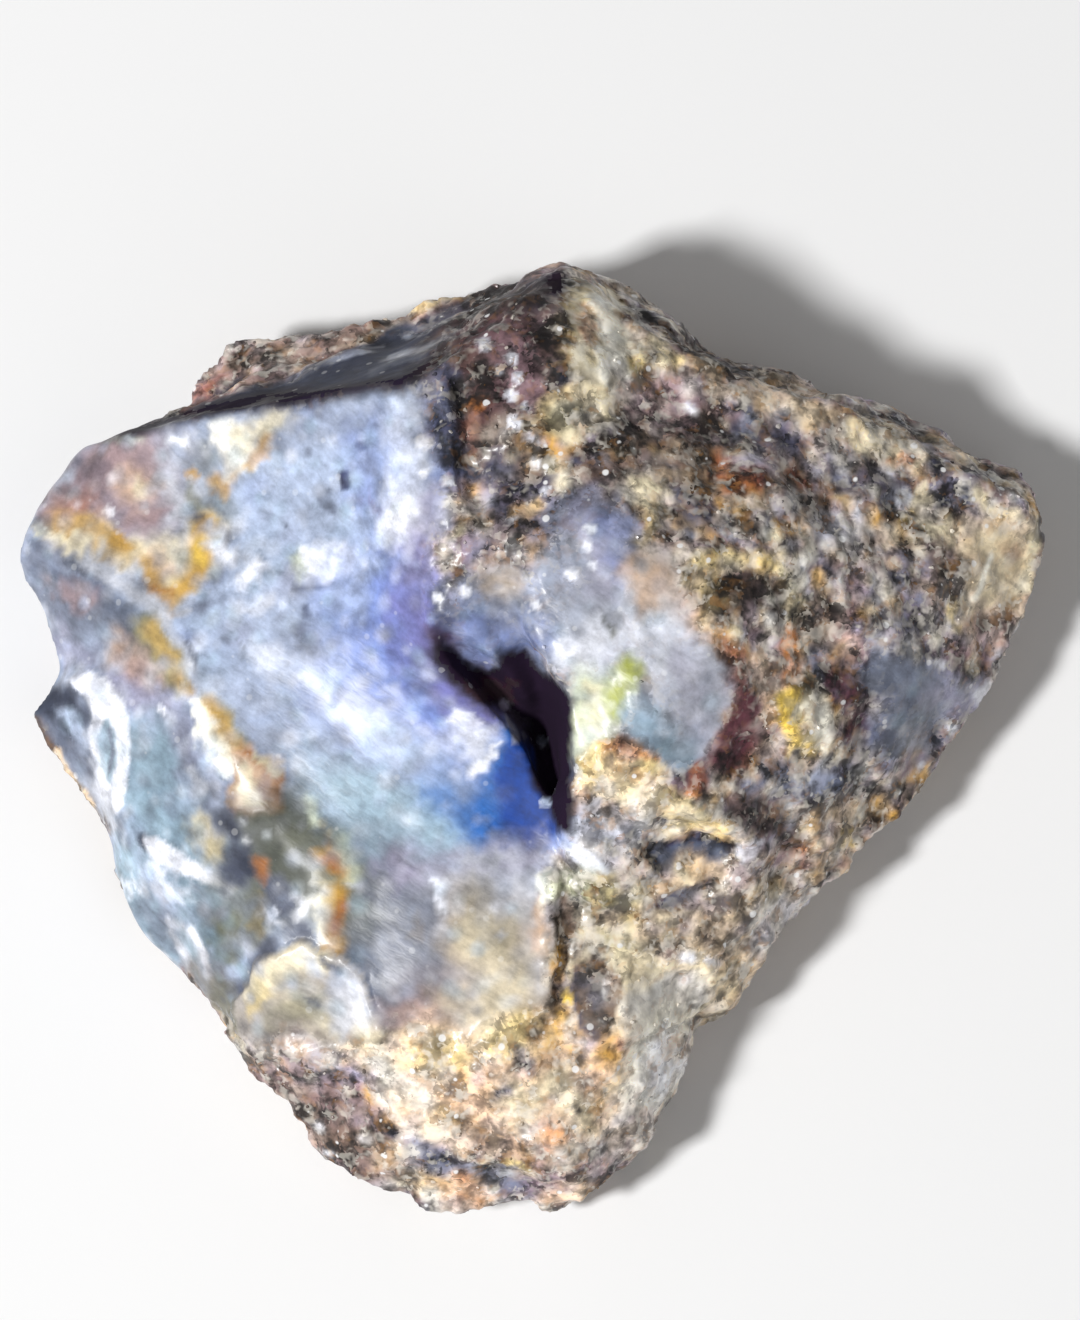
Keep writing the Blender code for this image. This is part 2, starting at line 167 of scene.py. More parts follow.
@dataclass(frozen=True)
class Stroke:
    """One brush stroke of mineral, or of painted shade, shadow or highlight, across the broken face, as it
    is seen from the camera.
    """

    tint: Tint
    reach: float  # half of its width, in the view's units
    strength: float  # how much of what lies below it hides, from 0 to 1
    path: tuple[tuple[float, float], ...]  # places in the frame, in order
    soft: float = 0.9  # the share of its reach over which it fades
    body: Body = Body.STAIN
    relief: float = 0.0  # how far it stands proud, in millimetres
    stray: float = 1.0  # how much of the common waywardness of edges it takes part in
    taper: float = 1.0  # how wide it still is at its path's end
    closed: bool = False  # whether the path is an outline that it fills
    deep: bool = False  # whether it also covers walls that turn away from the viewer

    def cover(
        self, seen: np.ndarray, drift: np.ndarray, turned: np.ndarray
    ) -> tuple[np.ndarray, np.ndarray]:
        """Says which points the stroke covers, and how much of each.

        Args:
            seen: The points as the camera sees them, one row each.
            drift: How far a mineral edge strays at each point, across and down.
            turned: How squarely each point faces the viewer, from -1 to 1.

        Returns:
            The numbers of the points that it may cover, and a share from 0 to 1 for each of them.
        """
        path = np.array(self.path, float)
        low, high = path.min(axis=0) - self.reach - FARTHEST, path.max(axis=0) + self.reach + FARTHEST
        near = np.flatnonzero(np.all((seen > low) & (seen < high), axis=1))
        spots = seen[near] + self.stray * drift[near]
        if self.closed:
            away = np.where(within(spots, self.path), 0, distance_to(spots, self.path + self.path[:1]))
        else:
            away = distance_to(spots, self.path, np.linspace(1, self.taper, len(path)))
        share = np.clip((1 - away / self.reach) / self.soft, 0, 1)
        facing = np.clip(turned[near] / GRAZING + self.deep, 0, 1)
        return near, share * share * (3 - 2 * share) * facing


def colour_stroke(
    tint: Tint, reach: float, strength: float, *path: tuple[float, float], **more: float | bool | Body
) -> Stroke:
    """Makes a stroke of colour alone along a path; such strokes carry the minerals' tints, and also painted
    shade and painted highlights.

    Args:
        tint: Its colour.
        reach: Half of its width, in the view's units.
        strength: How much of what lies below it hides.
        path: The places it runs through.
        more: The stroke's other fields, where they aren't as usual.

    Returns:
        The stroke.
    """
    return Stroke(tint, reach, strength, path, **more)


lay_opal = partial(colour_stroke, body=Body.OPAL)
lay_rock = partial(colour_stroke, body=Body.ROCK)


@dataclass(frozen=True)
class Mottle:
    """Many small random dabs of mineral over the whole of one body."""

    body: Body
    count: int
    reach: tuple[float, float]  # the least and the greatest half width
    strength: tuple[float, float]  # how much of what lies below they hide, at least and at most
    tints: tuple[Tint, ...]

    def dab(
        self, skin: KDTree, points: np.ndarray, colour: np.ndarray, opal: np.ndarray, seed: int
    ) -> None:
        """Lays the dabs on a colour field.

        Args:
            skin: A search tree of the points.
            points: The corners of the skin.
            colour: Their colours, which change.
            opal: Their shares of opal.
            seed: What the random choices start from.
        """
        chance = np.random.default_rng(seed)
        share = opal if self.body is Body.OPAL else 1 - opal
        for start in chance.choice(len(points), self.count, p=share / share.sum()):
            reach = chance.uniform(*self.reach)
            tint = np.array(linear(self.tints[chance.integers(len(self.tints))].value))
            found = skin.find_range(points[start], reach)
            near = np.array([index for _, index, _ in found])
            fade = 1 - (np.array([away for _, _, away in found]) / reach) ** 2
            weight = fade * share[near] * chance.uniform(*self.strength)
            colour[near] += (tint - colour[near]) * weight[:, None]


@dataclass(frozen=True)
class View:
    """Where the broken face is looked at from: nearly straight above, a little from the front."""

    tilt: float = math.radians(10)  # off the vertical
    distance: float = 0.9
    unit: float = 0.0508 * MM  # one unit of the 1080 by 1320 frame, at the level height
    level: float = 9 * MM
    frame: tuple[int, int] = (1080, 1320)
    origin: tuple[float, float] = (531.3, 726.6)  # where the stone's own origin line is seen
    sensor: float = 24.0  # the camera's own height of picture, in millimetres
    reach: tuple[float, float] = (0.05, 10.0)  # nothing nearer or farther than this is seen

    def seen(self, points: np.ndarray) -> np.ndarray:
        """Turns places on the stone into places in the frame.

        Args:
            points: Places in metres, one row each.

        Returns:
            Across and down in the frame, one row each.
        """
        up = points[:, 1] * math.cos(self.tilt) + (points[:, 2] - self.level) * math.sin(self.tilt)
        across = self.origin[0] + points[:, 0] / self.unit
        return np.stack([across, self.origin[1] - up / self.unit], axis=1)

    def facing(self, normals: np.ndarray) -> np.ndarray:
        """Says how squarely each normal faces the viewer, from -1 to 1."""
        return normals[:, 2] * math.cos(self.tilt) - normals[:, 1] * math.sin(self.tilt)

    def add_camera(self) -> None:
        """Adds the camera that sees the stone in this frame."""
        data = bpy.data.cameras.new("camera")
        camera = bpy.data.objects.new("camera", data)
        bpy.context.scene.collection.objects.link(camera)
        wide, high = self.frame
        across = (wide / 2 - self.origin[0]) * self.unit
        up = (self.origin[1] - high / 2) * self.unit
        target = Vector((across, up / math.cos(self.tilt), self.level))
        away = Vector((0, -math.sin(self.tilt), math.cos(self.tilt)))
        camera.location = target + away * self.distance
        camera.rotation_euler = (self.tilt, 0, 0)
        data.sensor_fit = "VERTICAL"
        data.sensor_height = self.sensor
        data.lens = data.sensor_height * self.distance / (high * self.unit)
        data.clip_start, data.clip_end = self.reach
        bpy.context.scene.camera = camera


# The opal's own face, as it is seen in the frame, a little past the stone's edge on the left.
OPAL_FACE = (
    (-40, 480), (80, 420), (200, 410), (325, 398), (442, 372), (452, 430), (446, 500), (432, 560),
    (428, 622), (470, 690), (520, 770), (552, 835), (550, 1000), (470, 1036), (380, 1030),
    (300, 1062), (240, 1030), (180, 1010), (-40, 820),
)  # fmt: skip

# The brush strokes, in the order in which they are laid, region by region. Each has a tint, half a
# width in the view's units, a strength, and the places that it runs through as seen in the frame.
# Besides the minerals they paint shade, shadows and highlights; a comment marks each of these.
T = Tint

UPPER_LEFT = (
    colour_stroke(T.PALE_SKY, 90, 0.55, (250, 510), (330, 470), (380, 430)),
    colour_stroke(T.STEEL, 40, 0.45, (250, 440), (300, 432), (350, 424)),
    colour_stroke(T.STEEL, 50, 0.5, (170, 450), (190, 500), (180, 540)),
    colour_stroke(T.OLIVE, 30, 0.4, (205, 455), (220, 500), (206, 520)),
    colour_stroke(T.ROSE, 62, 0.9, (95, 470), (128, 460), (140, 505)),
    colour_stroke(T.MAUVE, 30, 0.5, (84, 478), (100, 500)),
    colour_stroke(T.SHELL, 24, 0.8, (128, 484), (140, 490)),
    colour_stroke(T.CREAM, 12, 0.7, (134, 486), (138, 492)),
    # painted highlight: a small white glint dot
    colour_stroke(T.CLOUD, 7, 0.9, (107, 511), (108, 511), soft=0.5, stray=0.2),
    colour_stroke(T.CHALK, 12, 0.8, (108, 438), (122, 437)),
    colour_stroke(T.PEARL, 15, 0.9, (166, 440), (178, 438), (188, 442)),
    colour_stroke(T.CLOUD, 8, 0.8, (172, 438), (188, 439)),
    colour_stroke(T.PEARL, 20, 0.8, (160, 480), (176, 500), (196, 486)),
    colour_stroke(T.PEARL, 14, 0.8, (186, 520), (172, 510)),
    colour_stroke(T.OLIVE, 12, 0.6, (186, 488), (200, 506)),
    colour_stroke(T.CHALK, 22, 0.85, (228, 434), (236, 446), (240, 460), soft=0.6, relief=0.08),
    colour_stroke(T.GREIGE, 12, 0.4, (222, 448), (232, 462)),
    colour_stroke(T.CREAM, 24, 0.8, (246, 436), (268, 424), (276, 418)),
    colour_stroke(T.HONEY, 13, 0.7, (246, 466), (262, 450), (270, 440)),
    colour_stroke(T.HONEY, 11, 0.8, (190, 472), (196, 474)),
    colour_stroke(T.HONEY, 13, 0.7, (216, 470), (230, 476), (222, 486)),
    colour_stroke(T.SHELL, 12, 0.7, (252, 460), (262, 456)),
    colour_stroke(T.AMBER, 32, 0.6, (48, 520), (62, 506), (82, 512)),
    colour_stroke(T.STRAW, 26, 0.6, (50, 530), (84, 534), (112, 544), (130, 556)),
    colour_stroke(T.HONEY, 18, 0.6, (56, 524), (84, 530), (110, 540), (128, 556)),
    colour_stroke(T.CREAM, 12, 0.95, (36, 532), (58, 536), (82, 546)),
    colour_stroke(T.STEEL, 17, 0.85, (26, 556), (50, 550), (84, 560)),
    colour_stroke(T.NIGHT, 6, 0.5, (60, 552), (78, 560)),
    colour_stroke(T.CREAM, 34, 0.8, (148, 556), (176, 556), (180, 580)),
    colour_stroke(T.SHELL, 20, 0.7, (152, 560), (170, 564)),
    colour_stroke(T.STRAW, 26, 0.8, (208, 530), (204, 552), (194, 576), (176, 594)),
    colour_stroke(T.HONEY, 18, 0.75, (206, 528), (204, 550), (196, 574), (180, 594), stray=0.6),
    colour_stroke(T.YOLK, 10, 0.6, (206, 540), (200, 560), stray=0.6),
    colour_stroke(T.HONEY, 18, 0.8, (146, 568), (154, 588), (168, 606), stray=0.6),
    colour_stroke(T.AMBER, 9, 0.35, (150, 592), (164, 602)),
    colour_stroke(T.HONEY, 11, 0.7, (118, 536), (126, 552)),
    colour_stroke(T.PEARL, 15, 0.9, (216, 532), (228, 546), (236, 552)),
    colour_stroke(T.CLOUD, 9, 0.9, (222, 540), (230, 550)),
    colour_stroke(T.CLOUD, 12, 0.8, (238, 578), (256, 570)),
    colour_stroke(T.PISTACHIO, 17, 0.7, (298, 566), (312, 560)),
    colour_stroke(T.CLOUD, 19, 1.0, (316, 562), (334, 562), (352, 568), soft=0.6),
    colour_stroke(T.SLATE, 7, 0.6, (294, 588), (322, 586), (348, 584), stray=0.4),
    colour_stroke(T.CLOUD, 20, 0.5, (262, 648), (276, 666)),
    colour_stroke(T.CLOUD, 15, 0.55, (240, 606), (262, 600)),
    colour_stroke(T.INK, 9, 1.0, (345, 476), (347, 484), soft=0.6, stray=0.3),
    colour_stroke(T.NIGHT, 7, 0.9, (363, 445), (365, 450), stray=0.3),
    colour_stroke(T.SLATE, 13, 0.7, (326, 500), (332, 512)),
    colour_stroke(T.NIGHT, 8, 0.8, (306, 608), (309, 616), stray=0.3),
    colour_stroke(T.SLATE, 9, 0.6, (300, 636), (306, 650)),
    colour_stroke(T.ROSE, 9, 0.5, (372, 500), (380, 508)),
    colour_stroke(T.SLATE, 6, 0.6, (306, 700), (312, 706), soft=1.0),
    colour_stroke(T.SLATE, 6, 0.6, (338, 716), (346, 726), soft=1.0),
    colour_stroke(T.SLATE, 5, 0.6, (324, 742), (330, 748), soft=1.0),
    colour_stroke(T.MOSS, 6, 0.5, (344, 756), (352, 766), soft=1.0),
    colour_stroke(T.SLATE, 5, 0.5, (356, 734), (360, 744), soft=1.0),
    colour_stroke(T.SLATE, 5, 0.5, (236, 642), (244, 650), soft=1.0),
    colour_stroke(T.SLATE, 5, 0.5, (282, 522), (290, 528), soft=1.0),
    colour_stroke(T.NIGHT, 6, 0.7, (197, 517), (200, 519), stray=0.3),
)
WHITE_BAND = (
    colour_stroke(T.BOWL_BLUE, 46, 0.45, (370, 440), (376, 520), (372, 580)),
    # painted highlight: the white along this band is light on its rounded rise, over its blue and lilac
    colour_stroke(T.CLOUD, 30, 0.4, (398, 410), (402, 450), (408, 490)),
    colour_stroke(T.CLOUD, 32, 1.0, (398, 524), (412, 512), (416, 528)),
    colour_stroke(T.BOWL_BLUE, 20, 0.5, (432, 400), (440, 440), (440, 480)),
    colour_stroke(T.LILAC, 22, 0.7, (430, 500), (426, 540), (416, 570)),
    # painted highlights: three small white glint dots
    colour_stroke(T.CLOUD, 8, 1.0, (422, 443), (428, 444), soft=0.4, stray=0.1),
    colour_stroke(T.CLOUD, 6, 1.0, (423, 474), (425, 474), soft=0.5, stray=0.1),
    colour_stroke(T.CLOUD, 7, 1.0, (447, 482), (450, 483), soft=0.5, stray=0.1),
    colour_stroke(T.VIOLET, 40, 0.55, (420, 560), (412, 610), (430, 640)),
    colour_stroke(T.PALE_SKY, 34, 0.6, (350, 600), (360, 560), (352, 530)),
)
LEFT_SCAR = (
    colour_stroke(T.STEEL, 50, 0.8, (44, 600), (80, 620), (110, 650)),
    colour_stroke(T.SLATE, 32, 0.8, (96, 590), (124, 612), (150, 640)),
    colour_stroke(T.SLATE, 12, 0.5, (34, 566), (60, 572), (90, 584)),
    colour_stroke(T.ROSE, 22, 0.7, (62, 588), (84, 598)),
    colour_stroke(T.LILAC, 30, 0.5, (60, 640), (80, 660)),
    colour_stroke(T.SHELL, 30, 0.8, (122, 650), (140, 664), (150, 678)),
    colour_stroke(T.ROSE, 20, 0.5, (124, 656), (140, 668), (148, 680)),
    colour_stroke(T.OLIVE, 24, 0.9, (148, 626), (164, 650), (178, 682)),
    colour_stroke(T.STRAW, 20, 0.6, (152, 632), (166, 654), (182, 684), stray=0.6),
    colour_stroke(T.HONEY, 14, 0.4, (152, 628), (162, 646), (176, 670), stray=0.6),
    colour_stroke(T.HONEY, 13, 0.55, (180, 676), (190, 692), stray=0.6),
    colour_stroke(T.PEARL, 12, 0.9, (86, 560), (112, 578), (140, 596), (168, 622), stray=0.5),
    colour_stroke(T.PEARL, 11, 0.7, (170, 626), (188, 656), (202, 690), stray=0.5),
    colour_stroke(T.NIGHT, 5, 0.5, (186, 640), (198, 668), stray=0.5),
    colour_stroke(T.LILAC, 30, 0.75, (120, 690), (160, 712), (186, 744)),
    colour_stroke(T.TEAL, 56, 0.85, (150, 750), (150, 800), (186, 850)),
    colour_stroke(T.SLATE, 18, 0.4, (190, 760), (206, 800)),
    colour_stroke(T.ICE, 26, 0.6, (130, 800), (160, 830)),
    colour_stroke(T.PEARL, 8, 0.7, (190, 768), (204, 792), stray=0.4),
    # painted highlight: a small white glint dot
    colour_stroke(T.CLOUD, 5, 0.9, (159, 710), (162, 712), soft=0.6, stray=0.2),
    colour_stroke(T.CHALK, 14, 1.0, (198, 710), (208, 730), (218, 750), (226, 774), soft=0.6, relief=0.08),
    colour_stroke(T.OLIVE, 18, 0.8, (214, 702), (228, 724), (242, 742), stray=0.6),
    colour_stroke(T.STRAW, 20, 0.6, (212, 708), (226, 730), (238, 752), stray=0.6),
    colour_stroke(T.HONEY, 14, 0.65, (212, 706), (225, 728), (238, 750), stray=0.6),
    colour_stroke(
        T.SHELL, 12, 1.0,
        (232, 750), (250, 748), (270, 764), (280, 780), (272, 804), (258, 818), (246, 808), (238, 784),
        closed=True, soft=1.0, relief=0.12,
    ),
    colour_stroke(T.AMBER, 11, 0.75, (244, 748), (264, 762), (278, 778), (276, 796)),
    colour_stroke(T.CREAM, 11, 0.9, (240, 772), (250, 788), (256, 796)),
    colour_stroke(T.AMBER, 12, 0.9, (246, 816), (262, 814), (274, 806)),
    colour_stroke(T.ROSE, 10, 0.6, (262, 780), (266, 792)),
    colour_stroke(T.PISTACHIO, 10, 0.6, (262, 756), (276, 772)),
)
LEFT_CHIPS = (
    colour_stroke(T.STEEL, 30, 0.8, (62, 700), (80, 740), (96, 790)),
    colour_stroke(T.NIGHT, 24, 0.95, (42, 708), (56, 700), (66, 724), soft=0.7, stray=0.6),
    colour_stroke(T.SLATE, 16, 0.8, (40, 726), (60, 750)),
    colour_stroke(T.PALE_SKY, 12, 0.9, (58, 712), (74, 728), (82, 742), stray=0.6),
    # painted highlight: the white crescent is the shine of the chip's glossy scar
    colour_stroke(
        T.CLOUD, 5, 1.0,
        (70, 680), (90, 675), (108, 683), (120, 704), (127, 738), (127, 774), (120, 806), (112, 812),
        (102, 790), (95, 766), (90, 740), (92, 716), (84, 698),
        closed=True, soft=1.0, relief=0.08, stray=0.3,
    ),
    colour_stroke(
        T.ICE, 5, 0.9,
        (106, 722), (113, 738), (114, 762), (109, 780), (102, 764), (100, 740),
        closed=True, soft=1.0, stray=0.2,
    ),
    colour_stroke(T.STEEL, 4, 0.8, (108, 730), (112, 752), (109, 772), stray=0.2),
    colour_stroke(T.CLOUD, 10, 0.7, (96, 776), (104, 804), (110, 826), stray=0.4),
    colour_stroke(T.SLATE, 9, 0.8, (80, 700), (84, 720), stray=0.3),
    colour_stroke(T.PEARL, 14, 0.7, (88, 780), (100, 806), (106, 830), stray=0.4),
    colour_stroke(T.STEEL, 12, 0.6, (84, 748), (90, 776), stray=0.4),
    lay_rock(T.COFFEE, 11, 0.9, (30, 722), (50, 752), (74, 788), (102, 830), stray=0.3, deep=True),
    lay_rock(T.BUFF, 6, 1.0, (56, 752), (72, 778), (90, 806), stray=0.3, deep=True),
    colour_stroke(T.ICE, 44, 0.95, (124, 866), (146, 900), (176, 950)),
    colour_stroke(T.TEAL, 34, 0.7, (126, 890), (150, 930), (170, 950)),
    colour_stroke(T.STEEL, 24, 0.5, (140, 910), (166, 944)),
    colour_stroke(T.PALE_SKY, 22, 0.8, (150, 874), (172, 892), (180, 910)),
    colour_stroke(T.CLOUD, 10, 0.7, (160, 886), (172, 898)),
    colour_stroke(T.CLOUD, 7, 0.7, (126, 880), (132, 894)),
    colour_stroke(T.STEEL, 34, 0.5, (156, 900), (176, 930), (190, 950)),
    colour_stroke(T.TEAL, 30, 0.9, (196, 880), (212, 920), (216, 944)),
    colour_stroke(T.SLATE, 24, 0.7, (206, 900), (222, 924)),
    colour_stroke(T.NIGHT, 9, 0.95, (139, 836), (145, 840), stray=0.5),
    # painted highlight: a white streak of light along a crisp arris, with softer white beside it
    colour_stroke(
        T.CLOUD, 5, 1.0,
        (144, 837), (156, 839), (180, 855), (204, 870), (236, 888), (204, 880), (180, 870), (160, 860),
        (150, 850),
        closed=True, soft=1.0, relief=0.05, stray=0.15,
    ),
    colour_stroke(T.CLOUD, 10, 0.6, (152, 856), (168, 876), (184, 892)),
    colour_stroke(
        T.PEARL, 4, 0.9,
        (168, 918), (184, 924), (197, 941), (207, 962), (213, 986), (212, 998), (200, 984), (188, 966),
        (177, 948),
        closed=True, soft=1.0, relief=0.12, stray=0.25,
    ),
    colour_stroke(T.TEAL, 9, 0.6, (180, 932), (194, 952), (202, 972), stray=0.3),
    colour_stroke(T.CLOUD, 5, 1.0, (192, 930), (204, 952), (212, 990), soft=0.7, stray=0.15),
    colour_stroke(T.OLIVE, 22, 0.8, (224, 950), (232, 920)),
    lay_rock(T.MAUVE, 13, 0.95, (184, 980), (206, 1008), (230, 1040), deep=True),
    lay_rock(T.COFFEE, 6, 0.6, (184, 978), (204, 1004), deep=True),
)
GREEN_HOLLOW = (
    colour_stroke(T.MOSS, 90, 0.6, (262, 840), (300, 870), (340, 880)),
    colour_stroke(T.OLIVE, 70, 0.6, (250, 900), (290, 850), (350, 920)),
    colour_stroke(T.STRAW, 24, 0.6, (204, 830), (214, 850)),
    colour_stroke(T.OLIVE, 40, 0.5, (266, 836), (310, 850), (330, 870)),
    colour_stroke(T.SLATE, 28, 1.0, (234, 822), (244, 850), (240, 872)),
    colour_stroke(T.NIGHT, 16, 0.5, (236, 826), (246, 850), (244, 872)),
    colour_stroke(T.NIGHT, 9, 0.8, (232, 826), (236, 838), stray=0.4),
    colour_stroke(T.NIGHT, 8, 0.8, (246, 862), (250, 872), stray=0.4),
    colour_stroke(T.MOSS, 26, 0.8, (262, 826), (276, 856)),
    colour_stroke(T.MOSS, 38, 0.85, (288, 806), (318, 830), (336, 846)),
    colour_stroke(T.MOSS, 30, 0.8, (276, 862), (300, 876)),
    colour_stroke(T.PISTACHIO, 12, 0.85, (308, 802), (314, 822), stray=0.5),
    colour_stroke(T.STRAW, 10, 0.6, (318, 824), (330, 838)),
    colour_stroke(T.SLATE, 22, 1.0, (278, 890), (286, 902), soft=0.6, stray=0.5),
    colour_stroke(T.SLATE, 19, 1.0, (298, 932), (304, 938), soft=0.6, stray=0.5),
    colour_stroke(T.PEARL, 6, 0.9, (296, 892), (306, 904), (296, 918), stray=0.4),
    colour_stroke(T.PEARL, 6, 0.9, (262, 904), (272, 920), (284, 924), stray=0.4),
    colour_stroke(T.CLOUD, 6, 0.8, (276, 908), (280, 912), stray=0.4),
    colour_stroke(T.AMBER, 13, 0.85, (262, 862), (264, 874), stray=0.5),
    colour_stroke(T.HONEY, 10, 0.4, (258, 900), (258, 930)),
    colour_stroke(T.OLIVE, 16, 0.6, (256, 900), (256, 940)),
    colour_stroke(T.HONEY, 20, 0.95, (330, 858), (342, 868)),
    colour_stroke(T.AMBER, 12, 0.95, (330, 862), (342, 868), stray=0.5),
    colour_stroke(T.CREAM, 15, 0.9, (324, 890), (320, 906), (322, 926)),
    colour_stroke(T.CHALK, 8, 0.7, (318, 898), (316, 910), stray=0.5),
    colour_stroke(T.HONEY, 17, 0.95, (338, 892), (338, 916), (334, 946), stray=0.5),
    colour_stroke(T.AMBER, 11, 0.9, (341, 902), (338, 926), stray=0.5),
    colour_stroke(T.LIME, 14, 0.5, (364, 906), (378, 918)),
    colour_stroke(T.MOSS, 26, 0.5, (362, 880), (384, 930)),
    colour_stroke(T.PISTACHIO, 24, 0.6, (350, 850), (356, 872)),
    colour_stroke(T.PEARL, 8, 0.6, (350, 880), (364, 888)),
    colour_stroke(T.SLATE, 44, 0.6, (376, 910), (388, 950), (394, 990)),
    colour_stroke(T.SLATE, 56, 0.75, (400, 866), (416, 920), (410, 990)),
)
BLUE_BOWL = (
    colour_stroke(T.MILK_BLUE, 70, 0.7, (310, 690), (350, 730), (380, 780)),
    colour_stroke(T.BOWL_BLUE, 92, 0.9, (376, 610), (400, 690), (440, 740)),
    colour_stroke(T.BOWL_BLUE, 44, 0.4, (326, 690), (366, 704), (400, 722)),
    colour_stroke(T.PALE_SKY, 50, 0.85, (390, 740), (430, 770), (450, 790)),
    colour_stroke(T.VIOLET, 22, 0.4, (392, 640), (410, 680)),
    colour_stroke(T.ICE, 54, 0.95, (336, 792), (400, 812), (450, 830)),
    colour_stroke(T.TEAL, 36, 0.4, (340, 836), (390, 846)),
    colour_stroke(T.CLOUD, 14, 0.35, (396, 690), (416, 714), (436, 734)),
    colour_stroke(T.CLOUD, 26, 0.85, (448, 732), (470, 742), (490, 754)),
    colour_stroke(T.VIOLET, 20, 0.7, (440, 690), (460, 706), (486, 722)),
    colour_stroke(T.BOWL_BLUE, 22, 0.6, (410, 690), (430, 714), (444, 730)),
    colour_stroke(T.AZURE, 50, 0.4, (446, 796), (474, 812), (500, 820)),
    lay_opal(
        T.AZURE, 34, 0.95,
        (512, 738), (536, 740), (548, 790), (560, 826), (528, 842), (492, 834), (480, 816), (500, 786),
        closed=True, soft=1.0,
    ),
    lay_opal(
        T.COBALT, 22, 1.0,
        (520, 744), (536, 750), (542, 782), (556, 824), (530, 836), (508, 824), (510, 792),
        closed=True, soft=1.0,
    ),
    # painted highlights: white light on the blue bowl next to the cleft
    colour_stroke(T.CLOUD, 12, 1.0, (474, 768), (492, 760), (500, 748), taper=0.5),
    colour_stroke(T.CLOUD, 10, 0.8, (506, 726), (524, 736)),
    colour_stroke(T.CLOUD, 10, 0.9, (452, 720), (474, 728)),
    colour_stroke(T.AZURE, 18, 0.4, (430, 800), (460, 808)),
    colour_stroke(T.LILAC, 34, 0.9, (400, 872), (470, 866), (536, 860)),
    colour_stroke(T.PEARL, 12, 0.7, (464, 858), (500, 860)),
)
TAN_FACE = (
    colour_stroke(T.PEARL, 70, 0.9, (460, 900), (500, 900), (520, 900)),
    colour_stroke(T.BUFF, 80, 0.8, (460, 940), (500, 950), (510, 1000), (450, 1010)),
    colour_stroke(T.CREAM, 50, 0.6, (480, 940), (510, 980), (480, 1010)),
    colour_stroke(T.STEEL, 44, 0.9, (404, 990), (416, 950), (420, 910)),
    colour_stroke(T.MAUVE, 40, 0.3, (400, 1010), (420, 980)),
    colour_stroke(T.OLIVE, 30, 0.25, (480, 900), (500, 930)),
    colour_stroke(T.SHELL, 16, 0.9, (541, 905), (540, 950)),
    colour_stroke(T.CHALK, 10, 0.9, (542, 882), (545, 904)),
    colour_stroke(T.CLOUD, 10, 0.9, (440, 882), (444, 908)),
    colour_stroke(T.TAUPE, 7, 0.5, (418, 914), (421, 930)),
)
# The cleft: its dark core is partly its own dark colour and partly painted shade deep in the hollow, inside
# a violet and maroon rim
CLEFT_WITH_PAINTED_SHADE = (
    lay_opal(T.VIOLET, 40, 0.7, (424, 612), (446, 668), (486, 706), deep=True),
    lay_opal(T.MAROON, 24, 0.85, (440, 640), (462, 676), (500, 704), (540, 730), deep=True),
    # painted shade: the ink core of the cleft
    lay_opal(
        T.INK, 12, 1.0,
        (438, 648), (452, 652), (468, 664), (488, 678), (501, 670), (509, 652), (519, 648), (534, 674),
        (552, 688), (567, 702), (569, 728), (566, 752), (566, 782), (570, 800), (567, 824), (557, 822),
        (550, 806), (542, 788), (538, 766), (536, 744), (532, 720), (516, 708), (492, 702), (474, 694),
        (458, 682), (444, 664),
        closed=True, soft=1.0, stray=0.5, deep=True,
    ),
    lay_opal(T.MAROON, 10, 0.6, (470, 684), (500, 702), (516, 690), deep=True),
    lay_opal(T.NIGHT, 16, 0.7, (440, 590), (446, 622), deep=True),
    # painted highlights: small glint dots in and beside the cleft
    lay_opal(T.LILAC, 6, 0.9, (503, 704), (505, 706), soft=0.5, stray=0.1, deep=True),
    lay_opal(T.STEEL, 6, 0.8, (541, 740), (543, 742), soft=0.5, stray=0.1, deep=True),
    lay_opal(T.PALE_SKY, 6, 0.9, (545, 801), (547, 803), soft=0.5, stray=0.1, deep=True),
    colour_stroke(T.CLOUD, 6, 1.0, (437, 596), (439, 598), soft=0.5, stray=0.1),
    colour_stroke(T.CLOUD, 6, 1.0, (466, 591), (468, 593), soft=0.5, stray=0.1),
    colour_stroke(T.CLOUD, 6, 1.0, (535, 606), (537, 608), soft=0.5, stray=0.1),
)
